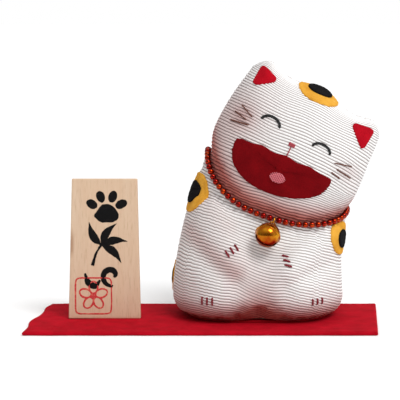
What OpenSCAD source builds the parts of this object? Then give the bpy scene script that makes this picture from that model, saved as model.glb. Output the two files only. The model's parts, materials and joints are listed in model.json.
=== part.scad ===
// Beckoning cat of ribbed crepe that leans over laughing, on a red felt mat beside a wooden plaque.
// Millimetres, +Z up, origin on the mat's underside at its centre, +X along the mat, -Y the front.
// Left and right are as seen from the front, so left is towards -X.

/* [Mat] */
// length of the front edge
mat_length = 168.4; // [130:0.1:220]
// front to back
mat_depth = 77; // [64:1:120]
// felt thickness
mat_thickness = 2; // [1:0.1:4]
// how far the back edge is cut to the right of the front edge
mat_skew = 7.2; // [0:0.1:12]

/* [Cat body] */
// from the sole to the neck, along the back
body_height = 64; // [52:0.5:80]
// from the neck to the crown, along the back
head_height = 50.8; // [42:0.1:64]
// widest, just above the sole
hip_width = 83; // [68:0.5:100]
// across the chest
chest_width = 78.6; // [64:0.1:96]
// under the collar
neck_width = 75.2; // [62:0.1:90]
// across the cheeks
cheek_width = 76; // [62:0.5:92]
// across the two ears
ear_width = 70.6; // [58:0.1:86]
// front to back at the hips
hip_depth = 71; // [58:0.5:84]
// front to back through the chest
chest_depth = 60; // [50:0.5:72]
// how much slimmer it is under the collar than through the chest
neck_step = 3; // [0:0.5:6]
// front to back through the face
face_depth = 65; // [54:0.5:80]
// front to back near the crown
crown_depth = 54; // [44:0.5:66]
// how far the ears stand above the crown line
ear_rise = 2.4; // [0:0.1:6]
// rounding where the sides turn under to the sole
foot_radius = 11; // [6:0.5:14]
// final lean of the head to the right
lean = 30; // [10:1:34]
// radius of the bend along the back
lean_radius = 168; // [120:1:240]
// crepe with its backing
cloth = 1.2; // [0.6:0.1:2.5]
// stuffed arms stand this far off the belly
arm_rise = 3; // [0:0.1:5]
// stuffed thighs stand this far off the belly
thigh_rise = 3.2; // [0:0.1:5]

/* [Base and filling] */
// felt sole thickness
sole_thickness = 1; // [0.5:0.1:2]
// card inside the base
board_thickness = 1.5; // [1:0.1:3]
// bag of pellets that weighs the base down
ballast_height = 7.5; // [5:0.5:8]
// slack left round the filling
filling_slack = 0.6; // [0.5:0.1:1]

/* [Felt and stitches] */
// felt of the ears, mouth and spots
felt_thickness = 0.8; // [0.4:0.1:1.5]
// how deep sewn pieces press into the crepe
felt_sink = 0.2; // [0.1:0.05:0.4]
// embroidery thread laid flat
stitch_width = 1.1; // [0.6:0.1:2]
// embroidery stands this far off the crepe
stitch_rise = 0.5; // [0.3:0.1:1]
// half the width of the open mouth
mouth_reach = 24.5; // [18:0.5:28]
// from the mouth's corners down to the lower lip
mouth_drop = 15.8; // [10:0.1:16]
// width of each closed eye
eye_width = 9.4; // [6:0.1:14]
// radius of the crown spot
crown_spot_radius = 10.8; // [8:0.1:12]
// radius of the spot on the left shoulder
left_shoulder_radius = 10; // [7:0.1:12]
// radius of the spot on the right shoulder
right_shoulder_radius = 7.8; // [6:0.1:9.5]
// radius of the spot on the left hip
left_hip_radius = 9; // [6:0.1:11]
// radius of the spot on the right hip
right_hip_radius = 8; // [6:0.1:9.5]
// black centre of a spot as a part of its radius
spot_centre = 0.56; // [0.3:0.01:0.7]

/* [Collar] */
// glass bead diameter
bead_size = 3.2; // [2.4:0.1:4]
// gap between beads
bead_gap = 0.1; // [0.05:0.05:0.5]
// elastic thread diameter
string_size = 0.6; // [0.4:0.1:0.8]
// how deep the collar nips the front and back
collar_nip = 1.6; // [0:0.1:3]

/* [Bell] */
// brass bell diameter
bell_size = 12; // [9:0.5:14]
// brass sheet
bell_wall = 0.45; // [0.3:0.05:0.8]
// steel pellet diameter
pellet_size = 3; // [2.5:0.1:4]
// width of the sound slit
slit_width = 1.1; // [0.6:0.1:1.6]
// clear width inside the jump ring
ring_opening = 3; // [2.6:0.1:4]
// jump ring wire
ring_wire = 0.7; // [0.5:0.1:0.9]
// gap between the bell and the belly at rest
bell_clearance = 0.9; // [0.7:0.1:2]
// how far the bell swings aside from square to the collar
bell_sway = 9; // [0:1:15]

/* [Plaque] */
// width at the foot
plaque_width = 35.5; // [28:0.5:44]
// width at the top
plaque_top_width = 32.2; // [26:0.1:42]
// height along the board
plaque_height = 69; // [56:0.5:84]
// board thickness
plaque_thickness = 5; // [3:0.5:9]
// angle it leans back
plaque_lean = 5; // [0:1:12]
// width of the wooden foot glued behind
prop_width = 14; // [8:1:24]
// depth of that foot on the mat
prop_depth = 12; // [8:1:20]
// side of the red square mark
seal_size = 18.5; // [12:0.5:22]

/* [Hidden] */
$fn = 48;

cat_x = 0.1722 * mat_length;
cat_y = 0.1675 * mat_depth;
plaque_x = -0.279 * mat_length;
plaque_y = -0.0675 * mat_depth;

// heights along the back and the half sizes there
figure_height = body_height + head_height;
width_profile = [
    [-10, hip_width / 2],
    [0.2 * body_height, hip_width / 2],
    [0.62 * body_height, chest_width / 2],
    [body_height, neck_width / 2],
    [body_height + 0.4 * head_height, cheek_width / 2],
    [figure_height, ear_width / 2],
    [figure_height + 12, ear_width / 2],
];
depth_profile = [
    [-10, hip_depth / 2 - 1],
    [0, hip_depth / 2 - 1],
    [0.3 * body_height, hip_depth / 2],
    [0.66 * body_height, chest_depth / 2],
    [body_height - 5, (chest_depth - neck_step) / 2],
    [body_height + 0.38 * head_height, face_depth / 2],
    [figure_height, crown_depth / 2],
    [figure_height + 12, crown_depth / 2],
];
squareness = 2.5;      // roundness of the body's plan, 2 is an ellipse
crown_curve = 2.3;     // roundness of the top, seen from the side
crown_drop = 24;       // depth over which the top rounds off
ear_place = 0.86;      // share of the half width where an ear peaks
ear_spread = 0.18;
corner_start = 0.8;    // share of the half width where the top corner rounds down
corner_drop = 5;
crown_rise = 2.8;      // the scalp swells between the ears
crown_spread = 0.26;
back_fullness = 0.9;   // the back is a little flatter than the belly
lean_start = 11;       // the base stands straight up to here
collar_side_rise = 4;  // the collar crosses the sides this far above the neck
collar_fall = 16.4;    // and hangs this far lower in front
collar_fall_back = 3;
collar_hang = 1.6;     // how soon it drops away from the sides
collar_tilt = 2.3;     // it sits higher on the left
nip_spread = 4.5;
nip_sides = 1.2;       // the collar nips the sides by this share of the front
// shoulder and paw, each as distance off centre and height
arm_reach = [[0.361 * hip_width, 0.75 * body_height], [0.169 * hip_width, 0.453 * body_height]];
arm_spread = 8;
thigh_place = [[0.289 * hip_width, 0.188 * body_height], [0.289 * hip_width, 0.266 * body_height]];
thigh_spread = 11;

around_steps = 44;
foot_steps = 4;
collar_step = 14;      // this row of points runs under the collar
height_steps = 30;
filling_collar_step = 8;
filling_steps = 20;
height_bunching = 1.5; // the steps crowd together towards the crown

face_shift = -2.9;     // the face looks a little to the left
eye_spacing = 0.1776 * cheek_width;
eye_height = 0.553 * head_height;
eye_arch = 3.2;
eye_end = 8;           // each eye is half an oval, less this angle at both ends
nose_height = 0.4646 * head_height;
nose_overlap = 0.7;    // the stem runs this far over the mouth
nose_width = 3.6;
mouth_height = 0.2953 * head_height;
mouth_top = 3.3;
lip_wave = 0.5;
tongue_height = 0.1555 * head_height;
tongue_size = [8, 5];
// inner and outer end of each whisker, as shares of half the cheek width and of the head height
left_whisker_ends = [
    [[0.579, 0.532], [0.763, 0.581]],
    [[0.632, 0.492], [0.803, 0.512]],
    [[0.579, 0.463], [0.803, 0.433]],
];
right_whisker_ends = [
    [[0.579, 0.502], [0.816, 0.551]],
    [[0.645, 0.453], [0.868, 0.423]],
    [[0.592, 0.404], [0.737, 0.374]],
];
ear_shift = -1.7;
// share of half the ear width, and down from the crown
ear_corners = [[0.867, 12.6], [0.858, 1], [0.584, 4.4]];
ear_corner_round = 1.3;
// shift to the cat's left, then distance off centre and height
hand_claw_place = [-2, 0.161 * hip_width, 0.527 * body_height];
hand_claw_turns = [30, -80];
hand_claw_drops = [0, 1.5];
foot_claw_place = [1, 0.3145 * hip_width, 0.18 * body_height];
claw_length = 2.8;
claw_spacing = 2.3;
// depth behind the middle and height of each spot's centre
crown_spot_place = [-2, -10.5];
left_shoulder_place = [-8.5, body_height - 11.2];
right_shoulder_place = [-13, body_height - 16.5];
left_hip_place = [12, 0.253 * body_height];
right_hip_place = [15, 0.195 * body_height];
tail_height = 0.266 * body_height;
tail_size = [7, 8];
tail_rise = 6;

bead_radius = bead_size / 2;
string_radius = string_size / 2;
bore_clearance = 0.15;
bead_lift = 0.3;       // beads ride this far off the crepe
collar_rise = bead_radius + bead_lift;
collar_samples = 120;
ring_turn = 1.6;        // where round the neck the ring hangs, from the middle of the front
ring_gap = 0.35;       // between the jump ring and the beads beside it
knot_radius = 1.1;

bell_radius = bell_size / 2;
ring_wire_radius = ring_wire / 2;
link_gap = 0.1;
loop_opening = 2;
loop_wire_radius = 0.35;
crimp_rise = 0.3;
crimp_height = 0.5;
pellet_clearance = 0.3;
// distances from the collar string down the hanging line
ring_centre_drop = ring_opening / 2 - string_radius - link_gap;
ring_foot_drop = ring_centre_drop + ring_opening / 2 + ring_wire_radius;
loop_centre_drop = ring_foot_drop + loop_opening / 2 - ring_wire_radius - link_gap;
loop_sink = 0.15;
bell_centre_drop = loop_centre_drop + loop_opening / 2 + loop_wire_radius + bell_radius - loop_sink;
pellet_drop = bell_radius - bell_wall - pellet_size / 2 - pellet_clearance;

ink_rise = 0.15;
ink_sink = 0.05;
plaque_edge = 2;

red_felt = [0.72, 0.05, 0.12];
white_crepe = [0.94, 0.92, 0.91];
yellow_felt = [0.86, 0.6, 0.2];
black_felt = [0.08, 0.08, 0.08];
dark_red = [0.5, 0.05, 0.08];
brass = [0.85, 0.62, 0.2];
pale_wood = [0.87, 0.75, 0.6];

// ---- smooth curve through hand-set points

function span(points, x, i = 0) =
    i >= len(points) - 2 || x < points[i + 1][0] ? i : span(points, x, i + 1);

function slope(points, k) =
    let(before = points[max(k - 1, 0)], after = points[min(k + 1, len(points) - 1)])
    (after[1] - before[1]) / (after[0] - before[0]);

function through(points, x) =
    let(
        i = span(points, x),
        run = points[i + 1][0] - points[i][0],
        t = (x - points[i][0]) / run
    )
    (2 * pow(t, 3) - 3 * pow(t, 2) + 1) * points[i][1]
    + (pow(t, 3) - 2 * pow(t, 2) + t) * run * slope(points, i)
    + (3 * pow(t, 2) - 2 * pow(t, 3)) * points[i + 1][1]
    + (pow(t, 3) - pow(t, 2)) * run * slope(points, i + 1);

function swell(x) = exp(-x * x);

function off_line(p, a, b) =
    let(t = max(0, min(1, (p - a) * (b - a) / ((b - a) * (b - a)))))
    norm(p - a - t * (b - a));

// ---- the cat's skin: share is the place across, from -1 to 1, and side is -1 in front, 1 behind

function foot_in(s, inset) =
    let(r = foot_radius - inset, q = max(0, min(1, (foot_radius - s) / r)))
    r * (1 - sqrt(1 - q * q));

function half_width(s, inset = 0) = through(width_profile, s) - foot_in(s, inset) - inset;

function half_depth(s, inset = 0) = through(depth_profile, s) - foot_in(s, inset) - inset;

function top_height(share, inset = 0) =
    figure_height - inset
    + ear_rise * swell((abs(share) - ear_place) / ear_spread)
    + crown_rise * swell(share / crown_spread)
    - corner_drop * pow(max(0, (abs(share) - corner_start) / (1 - corner_start)), 2);

function crown_close(share, s, inset) =
    let(t = max(0, min(1, (top_height(share, inset) - s) / crown_drop)))
    pow(1 - pow(1 - t, crown_curve), 1 / crown_curve);

function plan_depth(share) =
    pow(max(0, 1 - pow(min(1, abs(share)), squareness)), 1 / squareness);

// height of the collar line across the front or the back
function collar_height(share, side) =
    body_height + collar_side_rise - collar_tilt * share
    - (side < 0 ? collar_fall : collar_fall_back) * pow(plan_depth(share), collar_hang);

function limbs(a, s) =
    let(p = [abs(a), s])
    arm_rise * swell(off_line(p, arm_reach[0], arm_reach[1]) / arm_spread)
    + thigh_rise * swell(off_line(p, thigh_place[0], thigh_place[1]) / thigh_spread);

function straight_skin(share, s, side, inset = 0) =
    let(
        m = plan_depth(share),
        nip = collar_nip * swell((s - collar_height(share, side)) / nip_spread),
        a = share * (half_width(s, inset) - nip_sides * nip),
        fullness = side < 0
            ? half_depth(s, inset) - nip + limbs(a, s)
            : back_fullness * half_depth(s, inset) - nip
    )
    [a, side * fullness * m * crown_close(share, s, inset), s];

// bends a straight point over to the cat's left and sets it on the mat
function leaned(p) =
    let(
        arc = min(lean, max(0, (p.z - lean_start) / lean_radius * 180 / PI)),
        beyond = max(0, p.z - lean_start - lean_radius * lean * PI / 180),
        low = min(p.z, lean_start)
    )
    [
        cat_x + lean_radius - (lean_radius - p.x) * cos(arc) + beyond * sin(arc),
        cat_y + p.y,
        mat_thickness + low + (lean_radius - p.x) * sin(arc) + beyond * cos(arc),
    ];

function skin(share, s, side, inset = 0) = leaned(straight_skin(share, s, side, inset));

function signed_power(x, e) = sign(x) * pow(abs(x), e);

// place by compass angle w: 0 the right side, 90 the back, 180 the left side, 270 the front
function share_at(w) = signed_power(cos(w), 2 / squareness);
function side_at(w) = sin(w) < 0 ? -1 : 1;
function skin_round(w, s, inset = 0) = skin(share_at(w), s, side_at(w), inset);

// face pieces are placed by distance off centre and height
face_skin = function(a, s) skin(a / half_width(s), s, -1);
back_skin = function(a, s) skin(-a / half_width(s), s, 1);

// side pieces are placed by depth and height
function flank(side, u, s) =
    let(m = min(1, abs(u) / half_depth(s)))
    skin(side * pow(1 - pow(m, squareness), 1 / squareness), s, side * u < 0 ? -1 : 1);
right_skin = function(u, s) flank(1, u, s);
left_skin = function(u, s) flank(-1, u, s);

// the crown spot is placed by distance off centre and depth
crown_skin = function(a, b)
    let(
        share = a / half_width(figure_height - crown_drop / 4),
        full = half_depth(figure_height - crown_drop / 4) * plan_depth(share) * (b < 0 ? 1 : back_fullness),
        t = 1 - pow(1 - pow(min(1, abs(b) / full), crown_curve), 1 / crown_curve)
    )
    skin(share, top_height(share) - t * crown_drop, b < 0 ? -1 : 1);

probe = 0.4;

function lifted(at, u, v, rise) =
    let(n = cross(at(u + probe, v) - at(u - probe, v), at(u, v + probe) - at(u, v - probe)))
    at(u, v) + rise * n / norm(n);

// ---- solids made of rings of points

function ring_faces(rings, count, wrap = false) = [
    for (k = [0:rings - (wrap ? 1 : 2)], i = [0:count - 1])
        let(
            a = k * count + i,
            b = k * count + (i + 1) % count,
            c = (k + 1) % rings * count + (i + 1) % count,
            d = (k + 1) % rings * count + i
        )
        each [[a, b, c], [a, c, d]]
];

function fan(first, count, flip) = [
    for (i = [1:count - 2])
        flip ? [first, first + i + 1, first + i] : [first, first + i, first + i + 1]
];

// closes a ring whose second half runs back beside its first
function strip(first, count, flip) =
    let(last = first + count - 1)
    [
        for (j = [0:ceil(count / 2) - 2])
            let(a = first + j, b = a + 1, c = last - j - 1, d = last - j)
            each b == c
                ? (flip ? [[a, b, d]] : [[a, d, b]])
                : (flip ? [[a, b, c], [a, c, d]] : [[a, c, b], [a, d, c]])
    ];

module tube(rings) {
    count = len(rings[0]);
    polyhedron(
        points = [for (ring = rings) each ring],
        faces = concat(
            ring_faces(len(rings), count),
            fan(0, count, true),
            fan((len(rings) - 1) * count, count, false)
        )
    );
}

module slab(rings) {
    count = len(rings[0]);
    polyhedron(
        points = [for (ring = rings) each ring],
        faces = concat(
            ring_faces(len(rings), count),
            strip(0, count, false),
            strip((len(rings) - 1) * count, count, true)
        )
    );
}

// a piece of felt that follows the skin; rise lifts its middle like padding
module felt(at, outline, low, high, rise = 0, rings = 4) {
    n = len(outline);
    middle = [for (axis = [0, 1]) [for (p = outline) p[axis]] * [for (p = outline) 1] / n];
    layer = 1 + rings * n;
    function placed(k, p, top) =
        let(
            q = middle + (p - middle) * k / rings,
            dome = top ? rise * sqrt(1 - pow(k / rings, 2)) : 0
        )
        lifted(at, q.x, q.y, (top ? high : low) + dome);
    points = [
        for (top = [true, false]) each concat(
            [placed(0, middle, top)],
            [for (k = [1:rings], p = outline) placed(k, p, top)]
        )
    ];
    upper = [
        for (i = [0:n - 1]) each concat(
            [[0, 1 + (i + 1) % n, 1 + i]],
            [
                for (k = [1:rings - 1])
                    let(
                        a = 1 + (k - 1) * n + i,
                        b = 1 + (k - 1) * n + (i + 1) % n,
                        c = b + n,
                        d = a + n
                    )
                    each [[a, b, c], [a, c, d]]
            ]
        )
    ];
    lower = [for (f = upper) [f[0] + layer, f[2] + layer, f[1] + layer]];
    edge = [
        for (i = [0:n - 1])
            let(a = layer - n + i, b = layer - n + (i + 1) % n)
            each [[a, b + layer, b], [a, a + layer, b + layer]]
    ];
    polyhedron(points = points, faces = concat(upper, lower, [for (f = edge) [f[0], f[2], f[1]]]));
}

// a line of embroidery thread along a path on the skin
module stitch(at, path, width = stitch_width) {
    last = len(path) - 1;
    tube([
        for (k = [0:last])
            let(
                along = path[min(k + 1, last)] - path[max(k - 1, 0)],
                across = [-along.y, along.x] / norm(along) * width / 2,
                p = path[k],
                low = p - across,
                high = p + across
            )
            [
                lifted(at, low.x, low.y, -felt_sink),
                lifted(at, low.x * 0.7 + p.x * 0.3, low.y * 0.7 + p.y * 0.3, stitch_rise * 0.8),
                lifted(at, p.x, p.y, stitch_rise),
                lifted(at, high.x * 0.7 + p.x * 0.3, high.y * 0.7 + p.y * 0.3, stitch_rise * 0.8),
                lifted(at, high.x, high.y, -felt_sink),
            ]
    ]);
}

function line_between(a, b, n = 4) = [for (i = [0:n]) a + (b - a) * i / n];

function oval(centre, size, n = 24) =
    [for (i = [0:n - 1]) centre + [size.x * cos(360 * i / n), size.y * sin(360 * i / n)]];

// corners, listed anticlockwise, with each point rounded
function rounded(corners, r, arc_steps = 4) = [
    for (i = [0:len(corners) - 1])
        let(
            p = corners[i],
            n = len(corners),
            in = p - corners[(i + n - 1) % n],
            out = corners[(i + 1) % n] - p,
            from = atan2(-in.x, in.y),
            turn = (atan2(-out.x, out.y) - from + 720) % 360,
            reach = r / cos(turn / 2),
            c = p - reach * [cos(from + turn / 2), sin(from + turn / 2)]
        )
        for (k = [0:arc_steps]) c + r * [cos(from + turn * k / arc_steps), sin(from + turn * k / arc_steps)]
];

function mirrored(points) = [for (i = [len(points) - 1:-1:0]) [-points[i].x, points[i].y]];

// ---- mat

module mat() {
    color(red_felt)
        linear_extrude(mat_thickness)
            polygon([
                [-mat_length / 2, -mat_depth / 2],
                [mat_length / 2, -mat_depth / 2],
                [mat_length / 2 + mat_skew, mat_depth / 2],
                [-mat_length / 2 + mat_skew, mat_depth / 2],
            ]);
}

// ---- covers, base and filling

// height of row j of last, where row middle runs under the collar and the first is at start
function row_height(j, middle, last, start, share, side, inset) =
    let(collar = collar_height(share, side))
    j < middle
        ? start + (collar - start) * j / middle
        : collar + (top_height(share, inset) - collar)
            * (1 - pow(1 - (j - middle) / (last - middle), height_bunching));

function level(j, share, side, inset) =
    let(turn = acos((foot_radius - sole_thickness) / foot_radius))
    j < foot_steps
        ? foot_radius * (1 - cos(turn + (90 - turn) * j / foot_steps))
        : row_height(
            j - foot_steps, collar_step - foot_steps, height_steps - foot_steps,
            foot_radius, share, side, inset
        );

module cover(from) {
    slab([
        for (i = [0:around_steps])
            let(w = from + 180 * i / around_steps, share = share_at(w), side = from == 0 ? 1 : -1)
            concat(
                [for (j = [0:height_steps]) skin(share, level(j, share, side, 0), side)],
                [for (j = [height_steps:-1:0]) skin(share, level(j, share, side, cloth), side, cloth)]
            )
    ]);
}

module front_cover() {
    color(white_crepe) cover(180);
}

module back_cover() {
    color(white_crepe) cover(0);
}

function base_outline(inset) = [
    for (i = [0:2 * around_steps - 1])
        let(w = 180 * i / around_steps, p = skin_round(w, sole_thickness, inset)) [p.x, p.y]
];

module sole() {
    color(red_felt) translate([0, 0, mat_thickness])
        linear_extrude(sole_thickness) polygon(base_outline(0));
}

module base_board() {
    color("tan") translate([0, 0, mat_thickness + sole_thickness])
        linear_extrude(board_thickness) polygon(base_outline(cloth + filling_slack));
}

board_top = sole_thickness + board_thickness;

module ballast_bag() {
    rounding = 1.5;
    // each layer of the pouch as its height and how far it draws in
    layers = [
        [0, 2 * rounding],
        [rounding, rounding / 2],
        [ballast_height / 2, 0],
        [ballast_height - rounding, rounding / 2],
        [ballast_height, 2 * rounding],
    ];
    color("dimgray") tube([
        for (layer = layers) [
            for (p = base_outline(cloth + filling_slack + layer[1]))
                [p.x, p.y, mat_thickness + board_top + layer[0]]
        ]
    ]);
}

module wadding() {
    inset = cloth + filling_slack;
    floor_height = board_top + ballast_height;
    share_limit = 0.97;
    function at(share, j, side) =
        skin(
            share,
            row_height(j, filling_collar_step, filling_steps, floor_height, share, side, inset),
            side,
            inset
        );
    color("snow") slab([
        for (i = [0:around_steps / 2])
            let(share = -share_limit * cos(360 * i / around_steps))
            concat(
                [for (j = [0:filling_steps]) at(share, j, -1)],
                [for (j = [filling_steps - 1:-1:0]) at(share, j, 1)]
            )
    ]);
}

module tail() {
    color(white_crepe)
        felt(back_skin, oval([0, tail_height], tail_size), -felt_sink, felt_thickness, tail_rise, 5);
}

// ---- ears and face

module ear_lining(side) {
    outline = rounded([for (p = ear_corners) [p.x * ear_width / 2, figure_height - p.y]], ear_corner_round);
    color(red_felt) felt(
        face_skin,
        [for (p = side > 0 ? outline : mirrored(outline)) p + [ear_shift, 0]],
        -felt_sink, felt_thickness
    );
}

module left_ear_lining() {
    ear_lining(-1);
}

module right_ear_lining() {
    ear_lining(1);
}

module eye(side) {
    centre = [face_shift + side * eye_spacing, body_height + eye_height];
    color(black_felt) stitch(face_skin, [
        for (t = [eye_end:(180 - 2 * eye_end) / 12:180 - eye_end])
            centre + [eye_width / 2 * cos(180 - t), eye_arch * sin(t)]
    ]);
}

module left_eye() {
    eye(-1);
}

module right_eye() {
    eye(1);
}

mouth_centre = [face_shift, body_height + mouth_height];

module nose() {
    tip = [face_shift, body_height + nose_height];
    wing = [nose_width / 2, nose_width / 3];
    color(dark_red) {
        stitch(face_skin, line_between(tip + [-wing.x, wing.y], tip + wing));
        stitch(face_skin, line_between(tip, mouth_centre + [0, mouth_top - nose_overlap]), stitch_width / 2);
    }
}

mouth_outline = [
    for (i = [0:35])
        let(t = 10 * i, x = mouth_reach * cos(t))
        mouth_centre + [
            x,
            sin(t) > 0
                ? mouth_top * sqrt(sin(t)) - lip_wave * sin(t) * cos(720 * x / mouth_reach + 180)
                : mouth_drop * sin(t),
        ]
];

module mouth_felt() {
    color(dark_red) felt(face_skin, mouth_outline, -felt_sink, felt_thickness, 0, 6);
}

module tongue() {
    color("lightpink") felt(
        face_skin,
        oval([face_shift, body_height + tongue_height], tongue_size / 2),
        felt_thickness - felt_sink,
        felt_thickness + felt_thickness / 2,
        0, 3
    );
}

module whiskers(side) {
    color("sienna")
        for (ends = side < 0 ? left_whisker_ends : right_whisker_ends)
            let(reach = [
                for (p = ends)
                    [face_shift + side * p.x * cheek_width / 2, body_height + p.y * head_height]
            ])
            stitch(face_skin, line_between(reach[0], reach[1]), stitch_width * 0.6);
}

module left_whiskers() {
    whiskers(-1);
}

module right_whiskers() {
    whiskers(1);
}

// turns and drops are the left paw's, then the right one's
module claws(place, turns = [0, 0], drops = [0, 0]) {
    color(dark_red)
        for (paw = [0, 1], k = [-1:1])
            let(
                side = 2 * paw - 1,
                turn = turns[paw],
                middle = [
                    place[0] + side * (place[1] + k * claw_spacing * cos(turn)),
                    place[2] - drops[paw] - k * claw_spacing * sin(turn),
                ],
                reach = claw_length / 2 * [side * sin(turn), cos(turn)]
            )
            stitch(face_skin, line_between(middle - reach, middle + reach, 2), stitch_width * 0.8);
}

module hand_claws() {
    claws(hand_claw_place, hand_claw_turns, hand_claw_drops);
}

module foot_claws() {
    claws(foot_claw_place);
}

// ---- spots: a yellow disc with a black one sewn on it

// stretch is how much the bend draws out the heights on that side
module spot(at, place, radius, stretch = 1) {
    color(yellow_felt)
        felt(at, oval(place, [radius, radius / stretch]), -felt_sink, felt_thickness);
}

module spot_middle(at, place, radius, stretch = 1) {
    inner = radius * spot_centre;
    color(black_felt) felt(
        at, oval(place, [inner, inner / stretch]),
        felt_thickness - felt_sink, 2 * felt_thickness, 0, 3
    );
}

function bend_stretch(side, s) = s < lean_start ? 1 : 1 - side * half_width(s) / lean_radius;

module crown_spot() {
    spot(crown_skin, crown_spot_place, crown_spot_radius);
}

module crown_spot_centre() {
    spot_middle(crown_skin, crown_spot_place, crown_spot_radius);
}

// place is the depth behind the middle and the height
module flank_spot(side, place, radius, middle = false) {
    at = side < 0 ? left_skin : right_skin;
    where = [side * place.x, place.y];
    stretch = bend_stretch(side, place.y);
    if (middle)
        spot_middle(at, where, radius, stretch);
    else
        spot(at, where, radius, stretch);
}

module left_shoulder_spot() {
    flank_spot(-1, left_shoulder_place, left_shoulder_radius);
}

module left_shoulder_centre() {
    flank_spot(-1, left_shoulder_place, left_shoulder_radius, middle = true);
}

module right_shoulder_spot() {
    flank_spot(1, right_shoulder_place, right_shoulder_radius);
}

module right_shoulder_centre() {
    flank_spot(1, right_shoulder_place, right_shoulder_radius, middle = true);
}

module left_hip_spot() {
    flank_spot(-1, left_hip_place, left_hip_radius);
}

module left_hip_centre() {
    flank_spot(-1, left_hip_place, left_hip_radius, middle = true);
}

module right_hip_spot() {
    flank_spot(1, right_hip_place, right_hip_radius);
}

module right_hip_centre() {
    flank_spot(1, right_hip_place, right_hip_radius, middle = true);
}

// ---- collar: beads on an elastic thread, knotted at the nape

collar_skin = function(w, s) skin_round(w, s);

function collar_point(w) =
    lifted(collar_skin, w, collar_height(share_at(w), side_at(w)), collar_rise);

// starts and ends at the front, where the bell hangs
collar_route = [for (i = [0:collar_samples]) collar_point(270 + ring_turn + 360 * i / collar_samples)];
collar_run = [
    for (i = 0, total = 0; i <= collar_samples;
        i = i + 1, total = total + (i <= collar_samples ? norm(collar_route[i] - collar_route[i - 1]) : 0))
        total
];
collar_length = collar_run[collar_samples];
run_to_sample = [for (i = [0:collar_samples]) [collar_run[i], i]];

function on_collar(distance) =
    let(k = lookup(distance, run_to_sample), i = min(collar_samples - 1, floor(k)))
    collar_route[i] + (k - i) * (collar_route[i + 1] - collar_route[i]);

function collar_direction(distance) =
    let(way = on_collar(distance + 0.5) - on_collar(distance - 0.5)) way / norm(way);

module facing(point, direction) {
    translate(point)
        rotate([0, acos(direction.z), atan2(direction.y, direction.x)])
            children();
}

front_bead_offset = ring_wire_radius + ring_gap + bead_radius;
bead_count = floor((collar_length - 2 * front_bead_offset) / (bead_size + bead_gap));
bead_pitch = (collar_length - 2 * front_bead_offset) / bead_count;

module collar_beads() {
    color(dark_red)
        for (i = [0:bead_count])
            let(at = front_bead_offset + i * bead_pitch)
            facing(on_collar(at), collar_direction(at))
                difference() {
                    sphere(bead_radius, $fn = 24);
                    cylinder(r = string_radius + bore_clearance, h = 2 * bead_size, center = true, $fn = 16);
                }
}

module collar_string() {
    sides = 6;
    rings = [
        for (i = [0:collar_samples - 1])
            let(
                p = collar_route[i],
                way = collar_route[i + 1] - collar_route[(i + collar_samples - 1) % collar_samples],
                across = cross(way, [0, 0, 1]) / norm(cross(way, [0, 0, 1])),
                up = cross(across, way) / norm(way)
            )
            [
                for (k = [0:sides - 1])
                    p + string_radius * (cos(360 * k / sides) * across + sin(360 * k / sides) * up)
            ]
    ];
    color("darkred") polyhedron(
        points = [for (ring = rings) each ring],
        faces = ring_faces(len(rings), sides, true)
    );
}

module collar_knot() {
    nape = front_bead_offset + (floor(bead_count / 2) + 0.5) * bead_pitch;
    color("darkred") translate(on_collar(nape) + [0, knot_radius + string_radius, 0]) sphere(knot_radius);
}

// ---- jump ring and bell, drawn hanging down -Z from the collar string

hang_side = collar_direction(0.5);
hang_out = let(v = [0, -1, 0] - ([0, -1, 0] * hang_side) * hang_side) v / norm(v);
hang_down = cross(hang_side, hang_out);
belly_out = collar_height(0, -1) - 0.62 * bell_centre_drop;   // height of the bell's middle
// how far the bell must stand forward of the string to clear the belly
bell_forward = collar_route[0].y - skin(0, belly_out, -1).y + bell_radius + crimp_rise + bell_clearance;
hang_pitch = asin(bell_forward / bell_centre_drop);
hang_straight = cos(hang_pitch) * hang_down + sin(hang_pitch) * hang_out;
hang_back = cross(-hang_straight, hang_side);
hang_way = cos(bell_sway) * hang_straight - sin(bell_sway) * hang_side;
hang_across = cross(hang_back, -hang_way);

module hanging() {
    multmatrix([
        [hang_across.x, hang_back.x, -hang_way.x, collar_route[0].x],
        [hang_across.y, hang_back.y, -hang_way.y, collar_route[0].y],
        [hang_across.z, hang_back.z, -hang_way.z, collar_route[0].z],
        [0, 0, 0, 1],
    ])
        children();
}

module wire_ring(opening, wire_radius) {
    rotate_extrude() translate([opening / 2 + wire_radius, 0]) circle(wire_radius, $fn = 24);
}

module jump_ring() {
    color(brass) hanging() translate([0, 0, -ring_centre_drop]) rotate([0, 90, 0])
        wire_ring(ring_opening, ring_wire_radius);
}

module bell_loop() {
    color(brass) hanging() translate([0, 0, -loop_centre_drop]) rotate([90, 0, 0])
        wire_ring(loop_opening, loop_wire_radius);
}

// the upper half of a hollow ball with a crimped rim
module half_bell() {
    rotate_extrude()
        difference() {
            union() {
                intersection() {
                    circle(bell_radius);
                    square(bell_size);
                }
                square([bell_radius + crimp_rise, crimp_height]);
            }
            circle(bell_radius - bell_wall);
        }
}

module bell_upper_shell() {
    color(brass) hanging() translate([0, 0, -bell_centre_drop]) half_bell();
}

module bell_lower_shell() {
    hole_radius = slit_width;
    hole_angle = 35;
    color(brass) hanging() translate([0, 0, -bell_centre_drop]) rotate([180, 0, 0])
        difference() {
            half_bell();
            intersection() {
                translate([-bell_size, -slit_width / 2, 0]) cube([2 * bell_size, slit_width, bell_size]);
                cylinder(r = bell_radius * cos(hole_angle), h = bell_size);
            }
            for (side = [-1, 1])
                rotate([0, side * (90 - hole_angle), 0]) cylinder(r = hole_radius, h = bell_size);
        }
}

module bell_pellet() {
    color("silver") hanging() translate([0, 0, -bell_centre_drop - pellet_drop])
        sphere(pellet_size / 2, $fn = 32);
}

// ---- plaque

module leaned_back() {
    translate([plaque_x, plaque_y, mat_thickness]) rotate([-plaque_lean, 0, 0]) children();
}

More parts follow.
